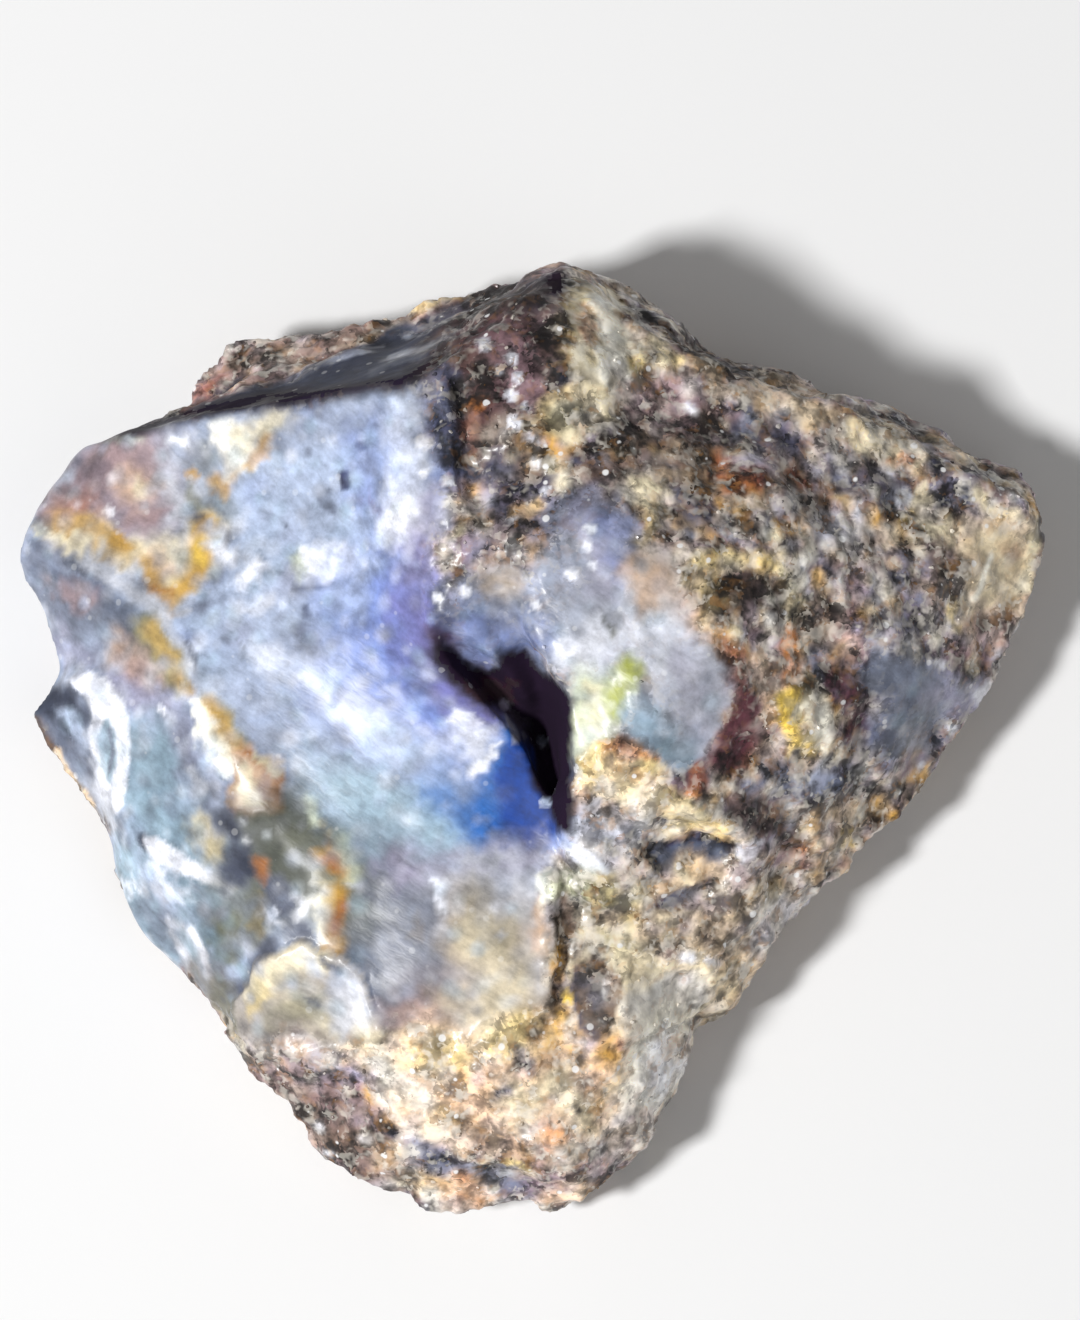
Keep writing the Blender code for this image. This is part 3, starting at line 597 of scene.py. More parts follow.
# The scoop behind the upper left crest, a back facet, painted dark as shade over the rock's own rose, umber
# and straw
SCOOP_WITH_PAINTED_SHADE = (
    lay_rock(T.UMBER, 34, 0.8, (200, 390), (250, 368), (320, 346), (390, 316)),
    lay_rock(T.ROSE, 26, 0.7, (200, 384), (240, 360), (320, 336), (400, 306), (480, 286), (540, 272)),
    lay_rock(T.TAUPE, 9, 0.8, (236, 366), (270, 358), (300, 354)),
    lay_rock(T.RUST, 14, 0.7, (196, 388), (214, 376)),
    lay_rock(T.UMBER, 16, 0.7, (232, 366), (300, 344), (360, 326)),
    lay_rock(T.STRAW, 9, 0.8, (400, 306), (440, 296), (470, 292), stray=0.5),
    # painted shade: a navy sheet over the scoop
    lay_opal(
        T.NAVY, 16, 0.95,
        (206, 404), (236, 392), (296, 382), (346, 362), (384, 336), (440, 314), (510, 294), (552, 280),
        (556, 290), (520, 312), (472, 338), (440, 358), (400, 378), (300, 394),
        closed=True, soft=1.0, stray=0.7, deep=True,
    ),
    lay_rock(T.COFFEE, 14, 0.6, (370, 330), (430, 312), (500, 296)),
    colour_stroke(T.SLATE, 10, 0.7, (388, 362), (430, 346), (466, 330), stray=0.4, taper=0.4),
    colour_stroke(T.STEEL, 5, 0.9, (392, 358), (426, 344), (456, 330), stray=0.3),
    colour_stroke(T.SLATE, 9, 0.5, (380, 336), (430, 318), (470, 304), stray=0.4),
    colour_stroke(T.TAUPE, 5, 0.7, (300, 356), (360, 338), (410, 318), stray=0.4),
    colour_stroke(T.STEEL, 4, 0.8, (404, 334), (440, 322), (470, 310), stray=0.4),
    colour_stroke(T.SLATE, 7, 0.5, (290, 374), (330, 360), (366, 346), stray=0.4),
    colour_stroke(T.SLATE, 6, 0.6, (372, 372), (410, 362), (436, 350), stray=0.4),
    colour_stroke(T.STEEL, 4, 0.8, (330, 362), (356, 350), (380, 346), stray=0.4),
    colour_stroke(T.UMBER, 9, 0.8, (470, 316), (510, 302), (540, 290), stray=0.6, deep=True),
    colour_stroke(T.UMBER, 14, 0.5, (420, 348), (470, 318), (520, 292), stray=0.5, deep=True),
    # painted shade: ink along the crest's far edge
    colour_stroke(
        T.INK, 17, 0.95,
        (104, 434), (180, 414), (247, 402), (330, 395), (400, 384), (440, 362),
        stray=0.3, deep=True,
    ),
    colour_stroke(T.INK, 13, 0.85, (440, 358), (470, 334), (510, 308), (556, 282), stray=0.3, deep=True),
    # painted shade: ink and coffee on the shaded back side along the upper right edge
    lay_rock(T.INK, 20, 0.8, (552, 276), (580, 292), (600, 300)),
    lay_rock(T.INK, 13, 0.8, (600, 292), (650, 316), (690, 340), deep=True),
    lay_rock(T.COFFEE, 16, 0.9, (600, 300), (660, 330), (700, 350), (760, 382), (900, 440), deep=True),
)
BROWN_SHOULDER = (
    lay_rock(T.COFFEE, 90, 1.0, (490, 340), (480, 420), (530, 340)),
    lay_rock(T.UMBER, 60, 0.4, (476, 380), (500, 420)),
    lay_rock(T.MAROON, 26, 0.5, (470, 380), (500, 400), (480, 440)),
    lay_rock(T.TAUPE, 16, 0.5, (470, 430), (484, 450), (500, 440)),
    lay_rock(T.MAROON, 40, 0.55, (480, 340), (530, 340), (520, 380)),
    lay_rock(T.RUST, 22, 0.5, (464, 430), (470, 440)),
    lay_rock(T.MAUVE, 40, 0.4, (510, 350), (520, 400)),
    # painted shadow: the opal's edge shades the rock just to its right
    lay_rock(T.NIGHT, 22, 0.85, (446, 380), (444, 430), (454, 470)),
    lay_rock(T.NIGHT, 30, 0.75, (480, 470), (530, 470), (500, 500)),
    lay_rock(T.NIGHT, 15, 0.85, (558, 374), (564, 384)),
    lay_rock(T.INK, 24, 0.7, (560, 296), (572, 330)),
    lay_rock(T.AMBER, 10, 0.6, (470, 406), (484, 410)),
    # painted highlights: a line of small white and pearl glint dots
    colour_stroke(T.CLOUD, 7, 1.0, (511, 358), (513, 361), soft=0.6, stray=0.1),
    colour_stroke(T.PEARL, 6, 0.9, (517, 377), (518, 380), soft=0.6, stray=0.1),
    colour_stroke(T.CLOUD, 7, 1.0, (510, 396), (512, 399), soft=0.6, stray=0.1),
    colour_stroke(T.PEARL, 5, 0.9, (524, 408), (525, 410), soft=0.6, stray=0.1),
    colour_stroke(T.CLOUD, 8, 1.0, (514, 424), (518, 426), soft=0.6, stray=0.1),
    colour_stroke(T.PEARL, 6, 0.9, (528, 438), (530, 440), soft=0.6, stray=0.1),
    colour_stroke(T.PEARL, 5, 0.8, (498, 372), (499, 374), soft=0.6, stray=0.1),
    colour_stroke(T.CLOUD, 6, 0.9, (545, 492), (547, 494), soft=0.6, stray=0.1),
    colour_stroke(T.PEARL, 6, 0.9, (534, 462), (536, 464), soft=0.6, stray=0.1),
    colour_stroke(T.PEARL, 8, 0.8, (484, 344), (486, 348), stray=0.2),
    colour_stroke(T.PEARL, 8, 0.8, (536, 440), (538, 444), stray=0.2),
    lay_rock(T.HONEY, 13, 0.95, (520, 508), (530, 510)),
    colour_stroke(T.SLATE, 34, 0.6, (486, 540), (520, 530), (560, 500)),
    lay_rock(T.UMBER, 30, 0.5, (470, 520), (510, 540)),
)
CREAM_PATCH = (
    lay_rock(T.STRAW, 40, 0.95, (588, 310), (594, 350), (614, 374), (636, 364)),
    lay_rock(T.CHALK, 32, 1.0, (594, 316), (600, 350), (610, 380), (624, 364), soft=0.7, relief=0.15),
    lay_opal(T.CREAM, 36, 1.0, (592, 308), (598, 344), (608, 380)),
    lay_rock(T.CHALK, 26, 0.95, (594, 324), (602, 352), (614, 378)),
    lay_rock(T.STRAW, 12, 0.8, (590, 300), (592, 330), (596, 356)),
    lay_rock(T.STRAW, 22, 0.8, (616, 388), (636, 372), (654, 360)),
    colour_stroke(T.CHALK, 18, 1.0, (600, 312), (606, 346), soft=0.7),
    colour_stroke(T.CHALK, 18, 1.0, (610, 372), (624, 394), soft=0.7),
    lay_rock(T.AMBER, 10, 0.7, (578, 312), (580, 336)),
    lay_rock(T.CREAM, 20, 0.9, (636, 362), (656, 350), (664, 360)),
    lay_rock(T.YOLK, 12, 0.6, (634, 366), (648, 374)),
    lay_rock(T.SHELL, 10, 0.8, (584, 310), (586, 340)),
    lay_rock(T.STRAW, 14, 0.8, (664, 356), (674, 360)),
    lay_rock(T.INK, 6, 0.8, (653, 355), (655, 357), stray=0.2),
    lay_rock(T.STRAW, 26, 0.6, (552, 404), (584, 400), (604, 408)),
    lay_rock(T.CREAM, 22, 0.9, (566, 410), (584, 404), (598, 402)),
    lay_rock(T.CREAM, 15, 0.8, (566, 438), (584, 430)),
    lay_rock(T.OLIVE, 20, 0.5, (560, 420), (600, 424)),
    lay_rock(T.SLATE, 15, 0.8, (606, 420), (618, 432)),
)
RIGHT_ROCK = (
    lay_rock(T.COFFEE, 60, 0.75, (640, 420), (700, 420), (680, 450)),
    lay_rock(T.MAUVE, 44, 0.6, (660, 400), (700, 410)),
    lay_rock(T.ROSE, 30, 0.6, (636, 400), (664, 380), (670, 400)),
    # painted highlight: a small white glint dot
    colour_stroke(T.CLOUD, 7, 1.0, (688, 406), (694, 412), stray=0.2),
    lay_rock(T.UMBER, 70, 0.6, (620, 460), (700, 470), (780, 480)),
    lay_rock(T.COFFEE, 26, 0.5, (780, 500), (830, 510), (880, 560)),
    lay_rock(T.NIGHT, 26, 0.85, (676, 496), (694, 510)),
    lay_rock(T.NIGHT, 34, 0.85, (756, 430), (786, 440)),
    lay_rock(T.BUFF, 28, 0.9, (766, 392), (800, 396), (818, 412)),
    lay_rock(T.BUFF, 18, 0.7, (700, 366), (720, 380), (736, 392)),
    lay_rock(T.AMBER, 16, 0.45, (712, 460), (730, 478)),
    lay_rock(T.RUST, 20, 0.7, (716, 470), (756, 480)),
    lay_rock(T.RUST, 10, 0.8, (798, 474), (808, 480)),
    lay_rock(T.CREAM, 17, 0.95, (644, 490), (654, 500)),
    lay_rock(T.STRAW, 15, 0.6, (646, 516), (640, 536)),
    lay_rock(T.STEEL, 28, 0.5, (826, 450), (850, 462)),
    lay_rock(T.CREAM, 22, 0.75, (852, 432), (884, 440), (910, 456)),
    lay_rock(T.AMBER, 10, 0.9, (896, 452), (904, 458)),
    lay_rock(T.NIGHT, 24, 0.75, (862, 484), (890, 490)),
    lay_rock(T.PEARL, 8, 0.8, (896, 490), (900, 496)),
    lay_rock(T.PEARL, 26, 0.6, (820, 530), (850, 538)),
    lay_rock(T.CREAM, 16, 0.9, (912, 502), (926, 516), (944, 528), (960, 534), relief=0.12),
    lay_rock(T.YOLK, 8, 0.7, (904, 510), (912, 516)),
    lay_rock(T.CREAM, 13, 0.8, (918, 490), (928, 498)),
    lay_rock(T.COFFEE, 12, 0.7, (900, 536), (934, 546)),
    lay_rock(T.SLATE, 18, 0.8, (962, 500), (980, 508)),
    lay_rock(T.CREAM, 16, 0.9, (980, 500), (1014, 512), (1036, 534)),
    lay_rock(T.BUFF, 56, 1.0, (996, 548), (1016, 560), (996, 600)),
    lay_opal(T.CREAM, 34, 0.6, (996, 548), (1012, 560), (990, 590)),
    colour_stroke(T.CREAM, 12, 0.9, (1038, 540), (1032, 566), (1022, 588)),
    colour_stroke(T.AMBER, 14, 0.35, (1010, 552), (1020, 556)),
    colour_stroke(T.CHALK, 5, 0.9, (992, 556), (984, 580), (976, 600), stray=0.1),
    lay_rock(T.MAUVE, 30, 0.7, (1000, 624), (980, 640)),
    lay_rock(T.SLATE, 36, 0.55, (906, 570), (914, 620)),
    lay_rock(T.PEARL, 16, 0.6, (876, 590), (890, 620), (880, 640)),
    lay_rock(T.STRAW, 10, 0.8, (952, 610), (958, 624)),
    lay_rock(T.MAUVE, 22, 0.6, (846, 570), (852, 610), (840, 630)),
    lay_rock(T.BUFF, 38, 0.7, (644, 560), (660, 590), (680, 600)),
    lay_rock(T.AMBER, 22, 0.4, (664, 600), (690, 620), (716, 640)),
    lay_rock(T.STRAW, 16, 0.8, (700, 560), (724, 560), (750, 562), (776, 576), relief=0.15),
    lay_rock(T.COFFEE, 28, 0.9, (726, 590), (748, 592), soft=0.6),
    lay_rock(T.STRAW, 24, 0.6, (694, 572), (708, 596), (716, 620)),
    lay_rock(T.HONEY, 26, 0.5, (700, 620), (724, 640), (740, 660)),
    lay_rock(T.SHELL, 20, 0.6, (734, 650), (744, 668)),
    lay_rock(T.OLIVE, 20, 0.6, (782, 580), (790, 620)),
    lay_rock(T.COFFEE, 24, 0.75, (802, 616), (814, 650)),
    lay_rock(T.UMBER, 36, 0.7, (820, 610), (836, 640), (830, 660)),
    lay_rock(T.ROSE, 18, 0.8, (850, 644), (856, 656)),
    lay_rock(T.SHELL, 22, 0.7, (762, 752), (776, 756)),
)
SMOOTH_LENSES = (
    lay_opal(T.STEEL, 56, 0.8, (484, 630), (500, 600), (520, 640)),
    lay_opal(T.BOWL_BLUE, 34, 0.5, (470, 620), (492, 650), (540, 640)),
    lay_opal(T.BUFF, 26, 0.75, (498, 582), (502, 590)),
    lay_opal(T.PEARL, 56, 0.85, (600, 550), (604, 580), (590, 630)),
    lay_opal(T.SLATE, 26, 0.6, (566, 514), (590, 500), (614, 508)),
    lay_opal(T.LILAC, 36, 0.6, (592, 520), (604, 560), (596, 590)),
    lay_opal(T.STEEL, 34, 0.6, (560, 560), (552, 610), (600, 620)),
    lay_opal(T.BOWL_BLUE, 26, 0.4, (610, 520), (616, 560)),
    lay_opal(T.CLOUD, 54, 0.7, (606, 640), (650, 620), (664, 644)),
    lay_opal(T.GREIGE, 30, 0.6, (650, 560), (660, 600)),
    lay_opal(T.PEARL, 56, 0.8, (670, 670), (700, 690), (696, 730)),
    lay_opal(T.LILAC, 30, 0.6, (690, 660), (706, 700), (690, 740)),
    lay_opal(T.TEAL, 38, 0.8, (636, 716), (656, 736), (676, 752)),
    lay_opal(T.SHELL, 24, 0.7, (636, 566), (650, 578), (652, 596)),
    lay_opal(T.PEARL, 34, 0.6, (700, 656), (712, 690), (706, 716)),
    lay_opal(T.CLOUD, 24, 1.0, (560, 658), (578, 658), relief=0.1),
    lay_opal(T.PISTACHIO, 38, 1.0, (588, 690), (588, 716), (578, 742)),
    lay_opal(T.CREAM, 16, 0.6, (590, 690), (600, 730)),
    lay_opal(T.LIME, 24, 1.0, (628, 672), (620, 692), (610, 712)),
    lay_opal(T.LIME, 12, 0.5, (612, 712), (604, 736)),
    lay_opal(T.OLIVE, 8, 0.6, (606, 626), (612, 636)),
    # painted highlights: small white glint dots on the lens
    colour_stroke(T.CLOUD, 6, 1.0, (588, 528), (592, 530), soft=0.5, stray=0.1),
    colour_stroke(T.CLOUD, 6, 1.0, (586, 546), (588, 548), soft=0.5, stray=0.1),
    colour_stroke(T.CLOUD, 7, 1.0, (570, 575), (573, 577), soft=0.5, stray=0.1),
    colour_stroke(T.CLOUD, 5, 0.9, (590, 564), (592, 566), soft=0.5, stray=0.1),
    lay_opal(T.SLATE, 56, 0.85, (892, 680), (916, 700), (896, 730)),
    lay_opal(T.STEEL, 24, 0.6, (900, 670), (930, 684), (936, 704), stray=0.5),
    lay_opal(T.LILAC, 32, 0.7, (950, 690), (976, 700)),
    colour_stroke(T.CLOUD, 12, 0.95, (984, 698), (994, 690), soft=0.6, stray=0.4),
    colour_stroke(T.CLOUD, 7, 0.8, (936, 662), (942, 664), stray=0.3),
    colour_stroke(T.INK, 4, 0.6, (866, 660), (864, 700), (864, 756), stray=0.2),
)
ORANGE_AND_YOLK = (
    lay_rock(T.STRAW, 34, 1.0, (604, 772), (626, 770), (640, 788), soft=0.5, relief=0.2),
    lay_rock(T.SHELL, 26, 0.65, (604, 776), (622, 772), (634, 790)),
    lay_rock(T.YOLK, 14, 0.5, (600, 774), (620, 784)),
    lay_rock(T.AMBER, 14, 0.8, (606, 750), (624, 746), (644, 758)),
    lay_rock(T.RUST, 6, 0.6, (616, 744), (626, 746)),
    lay_rock(T.CREAM, 18, 0.8, (604, 778), (622, 782), (630, 792)),
    lay_rock(T.SHELL, 17, 1.0, (570, 794), (580, 798), soft=0.6, relief=0.15),
    lay_rock(T.AMBER, 8, 0.6, (568, 802), (572, 808)),
    lay_rock(T.AMBER, 12, 0.8, (692, 770), (694, 784)),
    lay_rock(T.RUST, 26, 0.8, (736, 656), (738, 710), (730, 764)),
    lay_rock(T.MAROON, 22, 0.95, (742, 692), (738, 726), (722, 762)),
    lay_rock(T.MAROON, 20, 0.8, (764, 720), (752, 744)),
    lay_rock(T.AMBER, 15, 0.9, (782, 636), (784, 680)),
    lay_rock(T.SHELL, 15, 0.7, (764, 670), (772, 720)),
    lay_rock(T.STRAW, 34, 1.0, (800, 704), (812, 738)),
    lay_rock(T.YOLK, 15, 1.0, (790, 694), (791, 730), (798, 750), relief=0.15),
    lay_rock(T.CHALK, 22, 0.9, (812, 700), (818, 744)),
    lay_rock(T.UMBER, 7, 0.6, (820, 714), (824, 724)),
    lay_rock(T.SLATE, 16, 0.8, (806, 664), (824, 680)),
    lay_rock(T.MAROON, 24, 0.95, (838, 684), (852, 704), (852, 732)),
    lay_rock(T.MAROON, 22, 0.8, (700, 772), (684, 776)),
)
LOWER_RIGHT = (
    lay_rock(T.SLATE, 44, 0.85, (770, 780), (810, 790), (850, 776)),
    lay_rock(T.STEEL, 16, 0.6, (800, 780), (824, 776)),
    lay_rock(T.COFFEE, 26, 0.85, (736, 804), (764, 822), (784, 834)),
    lay_rock(T.STRAW, 19, 1.0, (664, 802), (692, 812), (718, 826), soft=0.6, relief=0.25),
    lay_rock(T.CREAM, 12, 0.9, (672, 802), (700, 812)),
    # painted shadow: the dark band under the cream ledge, sunk a little
    lay_rock(
        T.NIGHT, 8, 1.0,
        (648, 854), (662, 844), (684, 838), (708, 838), (726, 850), (726, 858), (706, 854), (684, 860),
        (660, 866),
        closed=True, soft=1.0, relief=-0.3,
    ),
    lay_opal(T.SLATE, 16, 0.8, (664, 858), (690, 852), (716, 854)),
    colour_stroke(T.INK, 5, 0.7, (650, 850), (668, 842), (690, 836), (712, 838), stray=0.5),
    lay_rock(T.BUFF, 24, 0.95, (668, 878), (690, 868), (712, 876)),
    lay_rock(T.CREAM, 10, 0.8, (672, 868), (686, 874)),
    lay_rock(T.NIGHT, 17, 1.0, (664, 898), (690, 894), (708, 888), relief=-0.25),
    lay_opal(T.SLATE, 10, 0.7, (670, 900), (696, 896)),
    lay_rock(T.LILAC, 20, 0.6, (700, 908), (724, 900)),
    lay_rock(T.PEARL, 44, 0.85, (584, 826), (606, 850), (636, 822)),
    lay_rock(T.STEEL, 20, 0.5, (600, 830), (620, 840)),
    lay_opal(
        T.CLOUD, 6, 1.0,
        (573, 848), (586, 850), (600, 862), (606, 873), (596, 872), (584, 864), (574, 856),
        closed=True, soft=1.0, relief=0.12, stray=0.3,
    ),
    lay_rock(T.PISTACHIO, 26, 0.75, (560, 884), (580, 878)),
    lay_rock(T.OLIVE, 22, 0.6, (570, 896), (600, 888)),
    lay_rock(T.COFFEE, 9, 0.9, (572, 914), (600, 910), (624, 922), (650, 916)),
    lay_rock(T.COFFEE, 8, 0.8, (600, 930), (620, 934), (636, 948)),
    lay_rock(T.STRAW, 14, 0.8, (610, 900), (640, 906)),
    lay_rock(T.SHELL, 14, 0.9, (636, 934), (652, 938)),
    lay_rock(T.CREAM, 14, 0.7, (662, 912), (680, 920)),
    lay_rock(T.CLOUD, 14, 0.95, (746, 854), (758, 848), soft=0.7, relief=0.1),
    lay_rock(T.MAUVE, 30, 0.6, (766, 856), (784, 866)),
    lay_rock(T.RUST, 22, 0.85, (802, 848), (810, 866)),
    lay_rock(T.AMBER, 10, 0.8, (800, 852), (816, 846)),
    lay_rock(T.BUFF, 30, 0.8, (824, 820), (846, 810), (826, 850)),
    lay_rock(T.YOLK, 8, 0.9, (846, 840), (850, 844)),
    lay_rock(T.STRAW, 22, 0.7, (760, 900), (784, 886)),
    lay_rock(T.BUFF, 80, 0.9, (620, 986), (690, 970), (750, 930)),
    lay_rock(T.CREAM, 70, 0.8, (600, 960), (650, 980), (690, 990)),
    colour_stroke(T.PEARL, 36, 0.7, (760, 940), (796, 904)),
    lay_rock(T.TAUPE, 22, 0.6, (660, 946), (700, 940), (730, 926)),
    lay_rock(T.UMBER, 10, 0.7, (664, 940), (676, 950)),
    lay_rock(T.OLIVE, 34, 0.5, (590, 890), (614, 900), (606, 950)),
    lay_opal(T.CREAM, 44, 0.6, (650, 1000), (650, 1040), (640, 1070)),
    colour_stroke(T.PEARL, 30, 0.6, (640, 1000), (684, 990)),
    colour_stroke(T.CLOUD, 9, 0.95, (684, 956), (694, 958), stray=0.3),
    colour_stroke(T.CLOUD, 7, 0.9, (710, 960), (716, 962), stray=0.3),
    # painted shadow: a dark band just below the step down from the opal
    lay_rock(T.UMBER, 14, 0.9, (564, 902), (566, 950), (562, 1010), relief=-0.08),
    lay_rock(T.COFFEE, 10, 0.8, (570, 922), (578, 938), (584, 952)),
    lay_rock(T.HONEY, 9, 0.9, (562, 944), (558, 974), stray=0.5),
    lay_rock(T.YOLK, 8, 1.0, (567, 992), (569, 996), soft=0.6, relief=0.1, stray=0.2),
    lay_rock(T.HONEY, 9, 0.8, (560, 1010), (556, 1030), stray=0.5),
    lay_rock(
        T.UMBER, 8, 0.95,
        (582, 962), (600, 958), (614, 974), (621, 996), (616, 1018), (600, 1034), (586, 1034), (580, 1010),
        (577, 984),
        closed=True, soft=1.0,
    ),
    lay_opal(T.UMBER, 24, 0.6, (592, 980), (602, 1002), (594, 1020)),
    colour_stroke(T.SLATE, 16, 0.5, (592, 976), (604, 1000)),
    colour_stroke(T.NIGHT, 7, 0.6, (582, 966), (578, 990), (584, 1028), (598, 1036)),
    colour_stroke(T.TAUPE, 14, 0.6, (604, 976), (612, 996)),
    colour_stroke(T.INK, 5, 0.95, (644, 1042), (670, 1031), (700, 1018), relief=-0.3, stray=0.1),
)
FLAKE = (
    colour_stroke(T.TAUPE, 34, 0.75, (206, 980), (226, 1010), (250, 1044)),
    colour_stroke(T.OLIVE, 40, 0.6, (226, 1000), (250, 1044)),
    # painted shadow: slate along the flake's left edge
    colour_stroke(T.SLATE, 17, 1.0, (240, 990), (262, 962), (272, 944), stray=0.4),
    colour_stroke(T.SLATE, 16, 0.6, (352, 950), (378, 980), (388, 1010), stray=0.4),
    colour_stroke(
        T.GREIGE, 5, 1.0,
        (232, 1010), (247, 986), (262, 962), (280, 952), (300, 947), (322, 951), (342, 956), (362, 980),
        (374, 1006), (382, 1040), (300, 1056), (246, 1046),
        closed=True, soft=1.0, relief=0.3, stray=0.5,
    ),
    colour_stroke(T.CREAM, 20, 0.95, (256, 990), (274, 968), (298, 958), (322, 960), stray=0.5),
    colour_stroke(T.STRAW, 14, 0.6, (250, 1004), (268, 990)),
    colour_stroke(T.CREAM, 34, 0.6, (300, 1000), (330, 1020)),
    colour_stroke(T.OLIVE, 26, 0.4, (276, 1018), (306, 1008)),
    colour_stroke(T.TEAL, 16, 0.3, (300, 990), (320, 1000)),
    colour_stroke(T.CLOUD, 17, 0.85, (346, 974), (356, 996), (366, 1024), stray=0.5),
    colour_stroke(T.PEARL, 24, 0.8, (338, 984), (344, 1028)),
    colour_stroke(T.SLATE, 7, 0.8, (324, 960), (336, 970), stray=0.6),
    colour_stroke(T.SLATE, 6, 0.6, (308, 994), (318, 1000), stray=0.6),
    colour_stroke(T.CLOUD, 13, 0.8, (262, 1044), (274, 1050)),
    colour_stroke(T.CREAM, 30, 0.8, (374, 1040), (402, 1044)),
    colour_stroke(T.ROSE, 26, 0.5, (390, 1016), (420, 1010)),
)
BOTTOM = (
    lay_rock(T.MAUVE, 66, 0.9, (280, 1080), (320, 1120), (364, 1160)),
    lay_rock(T.UMBER, 50, 0.85, (300, 1096), (340, 1120), (370, 1150)),
    lay_rock(T.MAUVE, 30, 0.5, (290, 1080), (320, 1110)),
    lay_rock(T.UMBER, 36, 0.6, (290, 1096), (326, 1126), (366, 1158)),
    lay_rock(T.STEEL, 24, 0.4, (300, 1060), (330, 1070)),
    lay_rock(T.TAUPE, 30, 0.6, (270, 1050), (310, 1054)),
    lay_rock(T.BUFF, 22, 0.6, (350, 1050), (370, 1066)),
    lay_rock(T.SHELL, 74, 0.9, (430, 1060), (500, 1090), (580, 1100)),
    lay_rock(T.CHALK, 20, 0.7, (380, 1060), (390, 1080), (400, 1100)),
    lay_rock(T.CHALK, 30, 0.85, (400, 1090), (420, 1110), (440, 1130)),
    lay_rock(T.STRAW, 34, 0.8, (430, 1050), (470, 1056), (520, 1030)),
    lay_rock(T.SHELL, 24, 0.5, (400, 1100), (440, 1140), (500, 1140)),
    lay_rock(T.CREAM, 34, 0.8, (520, 1100), (560, 1080), (590, 1110)),
    lay_rock(T.HONEY, 14, 0.6, (446, 1072), (460, 1080)),
    lay_rock(T.HONEY, 16, 0.6, (440, 1112), (456, 1120)),
    lay_rock(T.HONEY, 26, 0.85, (600, 1060), (616, 1048), (606, 1084)),
    lay_rock(T.SHELL, 18, 0.8, (590, 1064), (600, 1090)),
    lay_rock(T.AMBER, 9, 0.8, (618, 1044), (624, 1054)),
    lay_rock(T.HONEY, 20, 0.7, (604, 1110), (620, 1100)),
    lay_rock(T.CHALK, 50, 1.0, (664, 1036), (658, 1070), (642, 1100)),
    lay_rock(T.CLOUD, 30, 0.8, (660, 1074), (668, 1044)),
    lay_rock(T.ROSE, 22, 0.6, (640, 1110), (650, 1140)),
    lay_rock(T.AMBER, 14, 0.75, (552, 1134), (566, 1138)),
    lay_rock(T.SLATE, 14, 0.7, (522, 1046), (530, 1056)),
    lay_rock(T.NIGHT, 9, 0.9, (500, 1092), (508, 1090), stray=0.3),
    lay_rock(T.NIGHT, 8, 0.7, (574, 1104), (578, 1108), stray=0.3),
    lay_rock(T.NIGHT, 10, 0.95, (389, 1130), (394, 1132), stray=0.2),
    lay_rock(T.CLOUD, 10, 0.95, (364, 1136), (368, 1138), stray=0.2),
    lay_rock(T.CLOUD, 7, 0.8, (317, 1126), (320, 1128), stray=0.2),
    lay_rock(T.CLOUD, 7, 0.8, (328, 1154), (332, 1156), stray=0.2),
    lay_rock(T.BUFF, 22, 0.6, (390, 1160), (430, 1178)),
    # painted shadow: the shaded underside of a low ledge, sunk a little
    lay_rock(T.SLATE, 18, 0.85, (416, 1160), (466, 1172), (540, 1184), relief=-0.2),
    lay_rock(T.MAUVE, 30, 0.8, (540, 1176), (600, 1170), (620, 1160)),
    lay_rock(T.STRAW, 8, 0.9, (504, 1164), (530, 1166)),
    lay_rock(T.GREIGE, 26, 0.7, (570, 1150), (620, 1140), (650, 1120)),
    lay_rock(T.SHELL, 26, 1.0, (456, 1194), (476, 1196)),
    lay_rock(T.AMBER, 13, 0.6, (462, 1186), (474, 1196)),
    lay_rock(T.SHELL, 18, 0.9, (552, 1196), (566, 1198)),
    lay_rock(T.PEARL, 14, 0.6, (500, 1204), (540, 1206)),
)
STROKES = (
    UPPER_LEFT + LEFT_SCAR + LEFT_CHIPS + GREEN_HOLLOW + BLUE_BOWL + WHITE_BAND + TAN_FACE
    + SCOOP_WITH_PAINTED_SHADE + BROWN_SHOULDER + CREAM_PATCH + RIGHT_ROCK + SMOOTH_LENSES + ORANGE_AND_YOLK
    + LOWER_RIGHT + FLAKE + BOTTOM + CLEFT_WITH_PAINTED_SHADE
)  # fmt: skip

ROCK_LUMPS = Mottle(
    Body.ROCK, 800, (0.8 * MM, 2.0 * MM), (0.4, 0.8),
    (T.COFFEE, T.UMBER, T.MAUVE, T.SLATE, T.BUFF, T.LILAC, T.MAROON, T.HONEY),
)  # fmt: skip
ROCK_GRAINS = Mottle(
    Body.ROCK, 5200, (0.35 * MM, 0.85 * MM), (0.4, 0.95),
    (
        T.COFFEE, T.UMBER, T.NIGHT, T.MAUVE, T.SLATE, T.TAUPE, T.LILAC, T.BUFF, T.PEARL, T.CREAM,
        T.CHALK, T.HONEY,
    ),
)  # fmt: skip
OPAL_CLOUDS = Mottle(
    Body.OPAL, 260, (0.8 * MM, 2.0 * MM), (0.15, 0.4),
    (T.STEEL, T.TEAL, T.PALE_SKY, T.PEARL, T.LILAC, T.BOWL_BLUE),
)  # fmt: skip
OPAL_SPECKS = Mottle(
    Body.OPAL, 1500, (0.3 * MM, 0.7 * MM), (0.15, 0.55),
    (T.CLOUD, T.PEARL, T.PALE_SKY, T.STEEL, T.SLATE, T.ICE),
)  # fmt: skip


